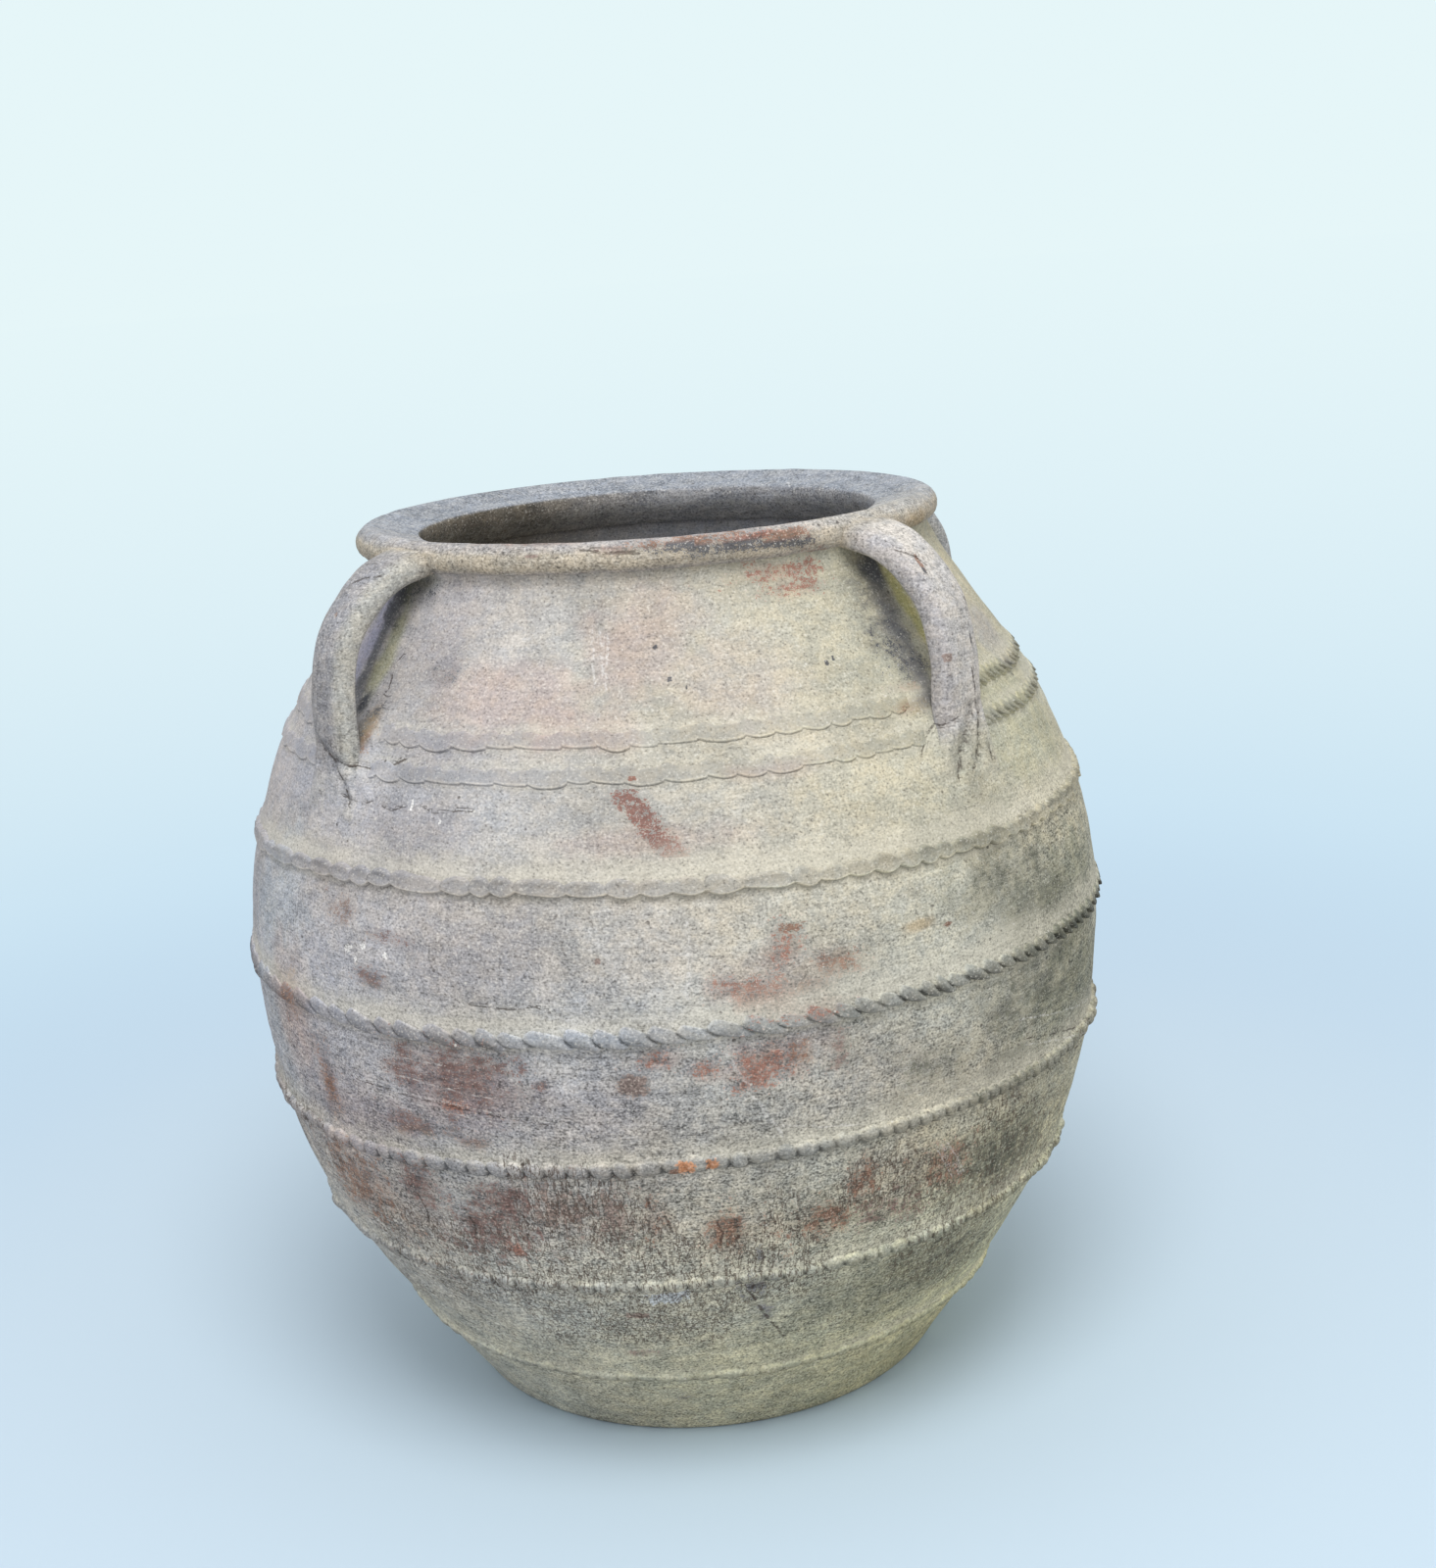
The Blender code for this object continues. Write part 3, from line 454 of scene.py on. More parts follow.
def smooth(low, high, x):
    """0 below low, 1 above high, and a smooth step between."""
    t = np.clip((x - low) / (high - low), 0, 1)
    return t * t * (3 - 2 * t)


def blend(a, b, share):
    """The value a share of the way from a to b."""
    return a + (b - a) * share


def lattice(cells, seed):
    """Pseudo-random values from 0 to 1 at whole-number corners."""
    mixed = cells[0] * 73856093 ^ cells[1] * 19349663 ^ cells[2] * 83492791 ^ seed * 40503
    mixed = (mixed ^ (mixed >> 13)) * 1274126177
    mixed = (mixed ^ (mixed >> 15)) * 668265263
    return ((mixed ^ (mixed >> 16)) & 0xFFFF) / 0xFFFF


def noise(points, size, seed, stretch=(1, 1, 1)):
    """Smooth noise from -1 to 1 whose blobs are about a size across."""
    scaled = [points[..., i] / (size * stretch[i]) + 100.5 for i in range(3)]
    whole = [np.floor(s).astype(np.int64) for s in scaled]
    part = [s - w for s, w in zip(scaled, whole)]
    ease = [p * p * p * (p * (p * 6 - 15) + 10) for p in part]
    total = 0
    for corner in range(8):
        bits = (corner & 1, corner >> 1 & 1, corner >> 2 & 1)
        weight = 1
        for i in range(3):
            weight = weight * (ease[i] if bits[i] else 1 - ease[i])
        total = total + weight * lattice([w + b for w, b in zip(whole, bits)], seed)
    return total * 2 - 1


def fractal(points, size, seed, octaves=3, stretch=(1, 1, 1)):
    """Noise with finer and weaker copies of itself added."""
    total, weight, reach = 0, 1.0, 0
    for octave in range(octaves):
        total = total + weight * noise(points, size / 2 ** octave, seed + octave, stretch)
        reach += weight
        weight *= 0.5
    return total / reach


def hermite(xs, ys, x):
    """The smooth curve through the points (xs, ys), read at x."""
    xs, ys = np.asarray(xs, float), np.asarray(ys, float)
    slopes = np.gradient(ys, xs)
    k = np.clip(np.searchsorted(xs, x) - 1, 0, len(xs) - 2)
    span = xs[k + 1] - xs[k]
    t = (x - xs[k]) / span
    start = ys[k] * (1 + 2 * t) * (1 - t) ** 2 + slopes[k] * span * t * (1 - t) ** 2
    end = ys[k + 1] * t * t * (3 - 2 * t) - slopes[k + 1] * span * t * t * (1 - t)
    return start + end


def node_points(name):
    """The corners of a node of the frame."""
    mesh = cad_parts[name].data
    points = np.empty(len(mesh.vertices) * 3)
    mesh.vertices.foreach_get("co", points)
    return points.reshape(-1, 3)


def wall_outline():
    """Heights and radii of the wall's outside, read from the wall's own nodes."""
    rows = {}
    for name in WALL_NODES:
        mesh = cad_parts[name].data
        for polygon in mesh.polygons:
            middle, normal = polygon.center, polygon.normal
            radial = (normal.x * middle.x + normal.y * middle.y) / middle.xy.length
            if radial < 0.6:
                continue
            for index in polygon.vertices:
                corner = mesh.vertices[index].co
                rows[round(corner.z, 3)] = corner.xy.length
    heights = np.array(sorted(z for z in rows if z > 0.002))
    radii = np.array([rows[z] for z in heights])
    belly = int(np.argmax(radii * (heights < 0.5)))
    neck = belly + int(np.argmin(radii[belly:]))
    return heights[:neck + 1], radii[:neck + 1]


OUTLINE = wall_outline()
OUTLINE_HEIGHTS = np.arange(0.0, 0.640, 0.001)
OUTLINE_RADII = hermite(*OUTLINE, np.clip(OUTLINE_HEIGHTS, OUTLINE[0][0], OUTLINE[0][-1]))
OUTLINE_SLOPES = np.gradient(OUTLINE_RADII, OUTLINE_HEIGHTS)


def wall_radius(height):
    """Radius of the wall's outside at a height."""
    return np.interp(height, OUTLINE_HEIGHTS, OUTLINE_RADII)


def wall_normal(height):
    """Radial and upward parts of the wall's outward direction at a height."""
    slope = np.interp(height, OUTLINE_HEIGHTS, OUTLINE_SLOPES)
    length = np.sqrt(1 + slope * slope)
    return 1 / length, -slope / length


def polar(angle, radius, height):
    """Points from an angle off the front, a radius and a height."""
    turn = angle + FRONT
    return np.stack(np.broadcast_arrays(radius * np.cos(turn), radius * np.sin(turn), height), -1)


def strip_fit(name):
    """How a strip of the frame wanders: its height as a short Fourier sum of the angle."""
    points = node_points(name)
    angle = np.arctan2(points[:, 1], points[:, 0]) - FRONT
    return np.linalg.lstsq(wander(angle), points[:, 2], rcond=None)[0]


def wander(angle):
    """The terms of the sum that a strip's height is made of."""
    terms = (np.ones_like(angle), np.cos(angle), np.sin(angle), np.cos(2 * angle), np.sin(2 * angle))
    return np.stack(terms, -1)


STRIP_FITS = {name: strip_fit(name) for name in STRIPS}


def strip_height(name, angle):
    """Height of a strip's middle at an angle off the front."""
    return wander(np.asarray(angle, float)) @ STRIP_FITS[name]


def wrapped(angle):
    """An angle brought to between minus and plus half a turn."""
    return (angle + math.pi) % math.tau - math.pi


def handle_row(t):
    """The handle's way shares at shares t of the way along it."""
    rows = np.array(HANDLE_WAY_SHARES)
    place = np.asarray(t, float) * (len(rows) - 1)
    return [hermite(range(len(rows)), rows[:, c], place) for c in range(rows.shape[1])]


def handle_line(t):
    """Radius and height of the strap's middle."""
    standoff, fall = handle_row(t)[:2]
    height = HANDLE_TOP + (HANDLE_ROOT - HANDLE_TOP) * fall
    neck = OUTLINE[0][-1]
    return wall_radius(np.minimum(height, neck)) + HANDLE_STANDOFF * standoff, height


def handle_half_width(t):
    """Half the strap's width along it."""
    top_flare, root_flare = handle_row(t)[2:4]
    return (HANDLE_WIDTH + (HANDLE_TOP_WIDTH - HANDLE_WIDTH) * top_flare
            + (HANDLE_ROOT_WIDTH - HANDLE_WIDTH) * root_flare) / 2


def line_distance(angle, height, points):
    """Signed distance over the wall to a line of points given as degrees off the front and height."""
    radius = wall_radius(np.clip(height, 0, OUTLINE[0][-1]))
    nearest = np.full(angle.shape, 1.0)
    signed = np.full(angle.shape, 1.0)
    for (a0, z0), (a1, z1) in zip(points, points[1:]):
        x, z = wrapped(angle - math.radians(a0)) * radius, height - z0
        dx, dz = math.radians(a1 - a0) * radius, z1 - z0
        share = np.clip((x * dx + z * dz) / (dx * dx + dz * dz), 0, 1)
        distance = np.hypot(x - share * dx, z - share * dz)
        side = np.where(x * dz - z * dx > 0, 1.0, -1.0)
        closer = distance < nearest
        nearest = np.where(closer, distance, nearest)
        signed = np.where(closer, distance * side, signed)
    return signed


def root_lines():
    """The fingers' grooves in the handles' roots, moved to every handle."""
    lines = []
    for name, degrees in HANDLES.items():
        source, grooves = ROOT_GROOVES[name]
        move = degrees - HANDLES[source]
        for half, depth, points in grooves:
            lines.append((half, depth, [(a + move, z) for a, z in points]))
    return lines


ROOT_LINES = root_lines()


def level_with(height, points, margin):
    """Which points lie no more than a margin above or below a line's points."""
    levels = [z for _, z in points]
    return (height > min(levels) - margin) & (height < max(levels) + margin)


def root_grooves(angle, height):
    """How deep the fingers' grooves are at points of the roots and the wall round them."""
    angle, height = np.broadcast_arrays(angle, height)
    depth_here = np.zeros(angle.shape)
    for half, depth, points in ROOT_LINES:
        here = level_with(height, points, 3 * half)
        if here.any():
            distance = line_distance(angle[here], height[here], points)
            depth_here[here] += depth * np.exp(-(distance / half) ** 2)
    return depth_here


def off_handle(angle, height, degrees):
    """Distance over the wall from a handle's middle."""
    return wrapped(angle + FRONT - math.radians(degrees)) * wall_radius(height)


def root_blend(angle, height):
    """How far the wall swells to meet the handles' roots."""
    t = np.linspace(0.55, 1.0, 60)
    fall = handle_row(t)[1]
    place = np.interp((HANDLE_TOP - height) / (HANDLE_TOP - HANDLE_ROOT), fall, t)
    standoff, *_, thickness = handle_row(place)
    half = handle_half_width(place)
    fade = smooth(0.548, 0.512, height) * smooth(HANDLE_ROOT - 0.014, HANDLE_ROOT + 0.010, height)
    swell = 0
    for degrees in HANDLES.values():
        across = off_handle(angle, height, degrees)
        crown = HANDLE_STANDOFF * standoff + HANDLE_THICKNESS / 2 * thickness * (1 - (across / half) ** 2)
        crown = np.clip(crown, -0.02, 0.0030)
        rounded = ROOT_ROUNDING * np.log1p(np.exp(crown / ROOT_ROUNDING))
        swell = swell + rounded * np.exp(-(across / 0.050) ** 4)
    return swell * fade


def near_root(angle, height):
    """1 well inside a handle's root and 0 away from it."""
    share = 0
    for degrees in HANDLES.values():
        share = share + (1 - smooth(0.024, 0.036, np.abs(off_handle(angle, height, degrees))))
    return share


def wall_relief(angle, height):
    """How far the wall's outside stands off its smooth outline."""
    points = polar(angle, wall_radius(height), height)
    relief = 0.0009 * fractal(points, 0.110, 11, 2)
    relief += 0.0004 * fractal(points, 0.034, 21, 3)
    relief += noise(points, 0.0062, 31, (14, 14, 1)) * 0.00016
    relief += noise(points, 0.0150, 32, (10, 10, 1)) * 0.00026
    for name, (_, _, half, rise) in STRIPS.items():
        above = height - strip_height(name, angle)
        lifted = np.exp(-np.maximum(above - 0.6 * half, 0) / 0.0050) * smooth(-half, half, above)
        relief += 0.22 * rise * lifted
        relief -= 0.0004 * np.exp(-((above + half + 0.0015) / 0.0022) ** 2)
    relief = relief + root_blend(angle, height)
    return relief - 0.8 * root_grooves(angle, height)


def wall_point(angle, height, out=0.0):
    """Points on the wall's worked surface, a distance out of it."""
    stand = wall_relief(angle, height) + out
    stand = np.minimum(stand, WIDEST - wall_radius(height))
    radial, upward = wall_normal(height)
    return polar(angle, wall_radius(height) + stand * radial, height + stand * upward)


def place_of(points):
    """Angle off the front, radius and height of points."""
    angle = wrapped(np.arctan2(points[..., 1], points[..., 0]) - FRONT)
    return angle, np.hypot(points[..., 0], points[..., 1]), points[..., 2]


def reach_of(angle, radius, height, degrees, level, half_width, half_height, power=2.0):
    """How far points lie from a placed patch's middle: 1 at its outline, boxier with more power."""
    across = np.abs(wrapped(angle - math.radians(degrees)) * radius / half_width)
    return (across ** power + np.abs((height - level) / half_height) ** power) ** (1 / power)


def body_clay(points):
    """The clay's colour over the body before anything is laid on it."""
    angle, radius, height = place_of(points)
    wide = fractal(points, 0.120, 201, 3)
    level = height + 0.012 * wide
    clays = np.array(BODY_CLAYS)
    colour = np.stack([np.interp(level, BODY_HEIGHTS, clays[:, c]) for c in range(3)], -1)
    # Painted cool light dims and blues the left side; yellowish dust tints the right
    side = smooth(-1.1, 1.1, np.sin(angle) * 1.15 + 0.25 * wide)[..., None]
    colour = colour * blend(np.array(LEFT_PAINTED_COOL_LIGHT), np.array(RIGHT_CAST), side)
    mottle = 0.20 * fractal(points, 0.055, 211, 4) + 0.12 * noise(points, 0.018, 212)
    colour = colour * (1 + mottle)[..., None]
    warm = fractal(points, 0.075, 221, 3)[..., None]
    return colour * (1 + warm * np.array((0.05, 0.0, -0.06)))


def mottled(colour, points, strength, size, seed):
    """A colour made lighter and darker in blotches."""
    return np.asarray(colour) * (1 + strength * fractal(points, size, seed, 4))[..., None]


def stain_edge(points):
    """How ragged the edges of soft stains are."""
    return 0.55 * fractal(points, 0.014, 231, 4)


def laid(colour, clay, weight):
    """Colours with a clay laid over them by weight."""
    return colour + (np.asarray(clay) - colour) * weight[..., None]


def strip_dust(angle, height):
    """How much pale dust lies above and just below the strips."""
    dust = np.zeros(np.broadcast(angle, height).shape)
    for name, (kind, _, half, _) in STRIPS.items():
        above = height - strip_height(name, angle)
        depth, reach = (1.0, 0.0150) if kind != "flat" else (0.55, 0.0100)
        dust = np.maximum(dust, depth * np.exp(-np.maximum(above - half, 0) / reach) * (above > 0))
        dust = np.maximum(dust, 0.45 * np.exp(-np.maximum(-above - half, 0) / 0.0030) * (above <= 0))
    return dust


def in_reach(height, level, half_height):
    """Whether a placed mark lies within some heights at all."""
    return np.min(height) - 1.9 * half_height < level < np.max(height) + 1.9 * half_height


def patched(tint, place, patches, edge):
    """Colours with soft patches laid on them."""
    for degrees, level, half_width, half_height, strength, clay in patches:
        if in_reach(place[2], level, half_height):
            reach = reach_of(*place, degrees, level, half_width, half_height)
            tint = laid(tint, clay, strength * (1 - smooth(0.35, 1.35, reach + edge)))
    return tint


ALL_PATCHES = PATCHES + tuple((*mark[:4], STIPPLE_GROUND * mark[4], mark[5]) for mark in STIPPLES)


def lay_mark(marks, deep, clay):
    """Give a mark's clay to the points where it is denser than the marks before it."""
    marks[deep > marks[..., 3], :3] = clay
    marks[..., 3] = np.maximum(marks[..., 3], deep)


def marked(points, chips, stipples):
    """The clay of crisp marks and how dense they are: above 0.27 there is more of it than not."""
    place = place_of(points)
    edge = 0.8 * fractal(points, 0.016, 232, 4)
    thin = 0.10 * noise(points, 0.0080, 236, (1, 1, 1.6))
    marks = np.full(place[0].shape + (4,), -1.0)
    solid = [(*chip[:4], 1.0, chip[4]) for chip in chips]
    for degrees, level, half_width, half_height, dense, clay in solid + list(stipples):
        if in_reach(place[2], level, half_height):
            reach = reach_of(*place, degrees, level, half_width, half_height, MARK_POWER)
            if dense < 1:
                deep = dense + thin - 0.30 * np.maximum(reach + edge - 0.3, 0)
            else:
                deep = 1.2 - reach - 0.3 * edge
            lay_mark(marks, deep, clay)
    return marks


def worn_red(points, spots, level):
    """How far the surface is worn to red, from a level with spots of more."""
    place = place_of(points)
    edge = stain_edge(points)
    red = level
    for degrees, at, half_width, half_height, strength in spots:
        reach = reach_of(*place, degrees, at, half_width, half_height)
        red = np.maximum(red, strength * np.exp(-np.maximum(reach + edge - 0.4, 0) ** 2 * 1.6))
    return red


def scuffed(points, marks):
    """Marks with the long scuff among them."""
    angle, radius, height = place_of(points)
    (a0, z0), (a1, z1), half, dense, clay = SCUFF
    if not in_reach(height, (z0 + z1) / 2, (z0 - z1) / 2):
        return marks
    along = np.clip((height - z0) / (z1 - z0), 0, 1)
    off = wrapped(angle - np.radians(a0 + (a1 - a0) * along)) * radius
    deep = dense - 0.5 * np.maximum(np.abs(off) / half - 0.8, 0)
    lay_mark(marks, np.where((height < z0) & (height > z1), deep, -1.0), clay)
    return marks


def wear_of(points):
    """Worn red, dust, soot and crackle of points on the outside."""
    angle, radius, height = place_of(points)
    edge = stain_edge(points)
    level = 0.02 + 0.10 * fractal(points, 0.060, 241, 3) + 0.12 * smooth(0.42, 0.28, height)
    level = level * blend(1.25, 0.75, smooth(-0.5, 0.6, np.sin(angle)))
    red = worn_red(points, WORN_RED, level)
    soot = np.zeros_like(red)
    # Soot, and by the front straps painted shade in the gaps behind them
    for degrees, at, half_width, half_height, strength in SOOTY:
        reach = reach_of(angle, radius, height, degrees, at, half_width, half_height)
        soot = np.maximum(soot, strength * (1 - smooth(0.4, 1.3, reach + edge)))
    dust = strip_dust(angle, height) * (0.75 + 0.35 * smooth(-0.6, 1.0, np.sin(angle)))
    dust = dust * blend(0.50, 1.0, smooth(0.10, 0.40, height)) * (0.9 + 0.35 * fractal(points, 0.030, 251, 2))
    crackle = smooth(0.30, 0.20, height) * smooth(0.06, 0.14, height) * (0.6 + 0.8 * noise(points, 0.05, 252))
    return np.stack((red, dust, soot, crackle), -1)


def line_fields(angle, height, lines):
    """Distance to the nearest placed line in its half widths, and whether it is near."""
    angle, height = np.broadcast_arrays(angle, height)
    field = np.full(angle.shape, LINE_FIELD)
    near = np.zeros(angle.shape)
    for half, points in lines:
        here = level_with(height, points, 2 * LINE_FAR)
        if not here.any():
            continue
        signed = line_distance(angle[here], height[here], points)
        shares = np.clip(signed / half, -LINE_FIELD, LINE_FIELD)
        field[here] = np.where(np.abs(shares) < np.abs(field[here]), shares, field[here])
        near[here] = np.maximum(near[here], 1 - smooth(LINE_NEAR, LINE_FAR, np.abs(signed)))
    return field, near


def paint(points, tint, gain, wear, marks, dark=(), pale=(), shown=1.0):
    """All that a piece is painted with, by layer; the tint's alpha is the grain's gain."""
    angle, _, height = place_of(points)
    gains = np.ones(angle.shape + (1,)) * np.asarray(gain)[..., None]
    marks[..., 3] = np.where(shown > 0.5, marks[..., 3], -1.0)
    lines = np.stack((*line_fields(angle, height, dark), *line_fields(angle, height, pale)), -1)
    lines[..., 1::2] *= np.asarray(shown)[..., None]
    return {"tint": np.concatenate((np.clip(tint, 0, 1), gains), -1), "wear": np.clip(wear, 0, 1),
            "marks": marks, "lines": lines}


def grain_gain(angle, height):
    """How strong the grain is over the body."""
    gain = np.interp(height, GRAIN_HEIGHTS, GRAIN_GAINS)
    right = smooth(0.75, 0.95, angle) * smooth(2.6, 2.2, angle) * smooth(0.46, 0.41, height)
    return blend(gain, np.maximum(gain, 2.0), right)


def inside_clay(points, angle):
    """The dark mottled clay inside the mouth, browner on the left, with painted light that changes with
    height.
    """
    inner = laid(np.broadcast_to(INSIDE, points.shape), INSIDE_BROWN, smooth(-0.3, 0.7, -np.sin(angle)))
    mottle = 0.34 * fractal(points, 0.030, 261, 4) + 0.14 * noise(points, 0.010, 263)
    # Painted light: lighter lower down inside, darker near the top of the mouth
    light = np.interp(points[..., 2], INSIDE_HEIGHTS, INSIDE_PAINTED_LIGHT)
    return inner * ((1 + mottle) * light)[..., None]


def paint_wall(points):
    """Paint of the wall, outside and in."""
    angle, radius, height = place = place_of(points)
    tint = patched(body_clay(points), place, ALL_PATCHES, stain_edge(points))
    outer = wall_radius(np.clip(height, 0, OUTLINE[0][-1]))
    deep = smooth(0.006, 0.012, outer - radius)
    tint = laid(tint, inside_clay(points, angle), deep)
    wear = wear_of(points) * (1 - deep)[..., None]
    marks = scuffed(points, marked(points, CHIPS, STIPPLES))
    gain = blend(grain_gain(angle, height), INSIDE_GRAIN, deep)
    return paint(points, tint, gain, wear, marks, DARK_LINES, PALE_LINES, 1 - deep)


def paint_rim(points):
    """Paint of the rim: bluish on top, warm under the lip, dark in the mouth."""
    angle, radius, height = place = place_of(points)
    front = smooth(-0.2, 0.9, np.cos(angle))
    top = laid(np.broadcast_to(RIM_BLUE, points.shape), RIM_GREY, front)
    top = laid(top, CREAM, 0.35 * smooth(0.2, 0.9, np.sin(angle)) * front)
    top = mottled(top, points, 0.20, 0.026, 271)
    lip = mottled(RIM_LIP, points, 0.12, 0.035, 272)
    tint = laid(top, lip, smooth(0.2005, 0.2045, radius) * smooth(0.6285, 0.6225, height))
    tint = laid(tint, inside_clay(points, angle), smooth(0.6206, 0.6190, height) * (radius < 0.190))
    outside = (radius > 0.185).astype(float)
    tint = laid(tint, patched(tint, place, RIM_PATCHES, 0.5 * fractal(points, 0.010, 274, 4)), outside)
    wear = np.zeros(points.shape[:2] + (4,))
    wear[..., 0] = worn_red(points, RIM_RED, 0.05 + 0.10 * fractal(points, 0.040, 273, 3)) * outside
    wear[..., 1] = 0.25 * smooth(0.6120, 0.6070, height) + 0.08
    return paint(points, tint, 1.3, wear, marked(points, RIM_CHIPS, RIM_STIPPLES), RIM_LINES, (), outside)


def paint_strip(points, crease_shade, ledge_highlight_and_dust, crest):
    """Paint of a strip: greyer than the wall, darkened by painted shade in its creases, pale on its ledges
    with dust and painted highlight, dusty above.
    """
    place = place_of(points)
    body = patched(body_clay(points), place, ALL_PATCHES, stain_edge(points))
    # Painted shade darkens the strip in its creases
    tint = body * np.array(STRIP_GAIN) * (1 - 0.75 * np.clip(crease_shade, 0, 1))[..., None]
    # The ledges get painted highlight and pale dust
    tint = laid(tint, np.minimum(body * np.array(LEDGE_HIGHLIGHT_AND_DUST_GAIN) + 0.05, 0.76), 0.90 * np.clip(ledge_highlight_and_dust, 0, 1))
    wear = wear_of(points)
    wear[..., 1] = np.clip(wear[..., 1], 0, 0.70) * crest
    gain = 0.5 * grain_gain(place[0], place[2])
    return paint(points, tint, gain, wear, marked(points, CHIPS, STIPPLES), (), PALE_LINES)


def paint_strap(points, clay, edge_clay, t, side, outward):
    """Paint of a handle: its own clay, another along its inner edge, and the wall's at its root."""
    angle, radius, height = place = place_of(points)
    tint = mottled(clay, points, 0.12, 0.030, 281)
    facing = np.sign(-np.sin(angle))
    tint = laid(tint, edge_clay, 0.55 * smooth(0.30, 0.95, side * facing) * smooth(-0.9, -0.1, outward))
    stained = smooth(-0.2, -0.9, outward) * smooth(-0.5, 0.5, noise(points, 0.03, 282))
    tint = laid(tint, YELLOW, 0.30 * stained)
    rooted = smooth(0.72, 0.88, t) * np.ones_like(radius)
    tint = laid(tint, body_clay(points), rooted)
    tint = laid(tint, RIM_LIP, (1 - smooth(0.02, 0.12, t)) * np.ones_like(radius))
    # Painted shade in the roots' finger grooves
    groove_shade = np.clip(root_grooves(angle, height) / 0.0036, 0, 1) * smooth(0.6, 0.7, t)
    tint = tint * (1 - 0.45 * groove_shade)[..., None]
    wear = np.zeros(points.shape[:2] + (4,))
    wear[..., 0] = 0.06 + 0.16 * fractal(points, 0.035, 283, 3)
    wear[..., 1] = 0.30 * rooted * (1 + 0.5 * noise(points, 0.02, 284))
    wear[..., 3] = 0.05 + 0.10 * noise(points, 0.04, 285)
    shown = (outward > -0.2).astype(float)
    marks = marked(points, STRAP_CHIPS, ())
    return paint(points, tint, 1.0, wear, marks, STRAP_LINES + ROOT_GROOVE_SHADE_LINES, (), shown)


def angles(count):
    """Evenly spaced angles off the front, all the way round."""
    return np.arange(count) * (math.tau / count) - math.pi


def link(data, name):
    """Put a mesh, a camera or a lamp in the scene under a name."""
    thing = bpy.data.objects.new(name, data)
    bpy.context.scene.collection.objects.link(thing)
    return thing


def pole_faces(index, v_steps):
    """The triangles from the first and the last row to their poles, and where they lie unrolled."""
    rows, columns = index.shape
    ring = np.arange(columns)
    after = np.roll(ring, -1)
    low = np.stack((np.full(columns, rows * columns), index[0][after], index[0][ring]), -1)
    high = np.stack((index[-1][ring], index[-1][after], np.full(columns, rows * columns + 1)), -1)
    a, b, step = ring / columns, (ring + 1) / columns, 1 / v_steps
    flat, top = np.zeros(columns), np.ones(columns)
    low_uv = np.stack(((a + b) / 2, flat, b, flat + step, a, flat + step), -1).reshape(-1, 2)
    high_uv = np.stack((a, top - step, b, top - step, (a + b) / 2, top), -1).reshape(-1, 2)
    return np.concatenate((low.ravel(), high.ravel())), np.vstack((low_uv, high_uv))


def ring_piece(name, grid, painted, first_pole=None, last_pole=None):
    """A closed piece from rows of points that go round, ended by poles or joined row to row."""
    rows, columns = grid.shape[:2]
    points = grid.reshape(-1, 3)
    closed = first_pole is None
    first = 0 if closed else 1
    v_steps = rows + first
    index = np.arange(rows * columns).reshape(rows, columns)
    lower = index if closed else index[:-1]
    upper = np.roll(index, -1, 0) if closed else index[1:]
    quads = np.stack((lower, np.roll(lower, -1, 1), np.roll(upper, -1, 1), upper), -1)
    corners, sizes = quads.ravel(), np.full(lower.size, 4)
    i, j = np.meshgrid(np.arange(columns), np.arange(len(lower)))
    u0, u1 = i / columns, (i + 1) / columns
    v0, v1 = (j + first) / v_steps, (j + first + 1) / v_steps
    uvs = np.stack((u0, v0, u1, v0, u1, v1, u0, v1), -1).reshape(-1, 2)
    if not closed:
        points = np.vstack((points, first_pole, last_pole))
        pole_corners, pole_uvs = pole_faces(index, v_steps)
        corners = np.concatenate((corners, pole_corners))
        sizes = np.concatenate((sizes, np.full(2 * columns, 3)))
        uvs = np.vstack((uvs, pole_uvs))
    mesh = solid_mesh(name, points, corners, sizes, uvs)
    for layer, values in painted.items():
        values = values.reshape(rows * columns, 4)
        if not closed:
            values = np.vstack((values, values[0], values[-1]))
        painting = mesh.attributes.new(layer, "FLOAT_COLOR", "POINT")
        painting.data.foreach_set("color", values.ravel())
    return link(mesh, name)


def solid_mesh(name, points, corners, sizes, uvs):
    """A smooth mesh from its points, the corners of its faces and where they lie unrolled."""
    mesh = bpy.data.meshes.new(name)
    mesh.vertices.add(len(points))
    mesh.vertices.foreach_set("co", points.ravel())
    mesh.loops.add(len(corners))
    mesh.loops.foreach_set("vertex_index", corners.astype(np.int32))
    mesh.polygons.add(len(sizes))
    starts = np.concatenate(([0], np.cumsum(sizes)[:-1]))
    mesh.polygons.foreach_set("loop_start", starts.astype(np.int32))
    mesh.update(calc_edges=True)
    mesh.validate()
    layer = mesh.uv_layers.new(name="OFBake")
    layer.data.foreach_set("uv", uvs.ravel())
    mesh.shade_smooth()
    return mesh


def wall_rows(low, high, step):
    """Heights of rows between two borders that wander, about a step apart."""
    count = max(2, math.ceil(float(np.max(high - low)) / step))
    share = np.linspace(0, 1, count + 1)[:, None]
    return low + (high - low) * share


def inner_point(angle, height):
    """Points on the wall's inside: one thickness in, with the marks of the throwing."""
    radial, upward = wall_normal(height)
    points = polar(angle, wall_radius(height), height)
    depth = WALL_THICKNESS + 0.0006 * noise(points, 0.016, 41, (12, 12, 1)) + 0.0008 * noise(points, 0.08, 42)
    return polar(angle, wall_radius(height) - depth * radial, height - depth * upward)


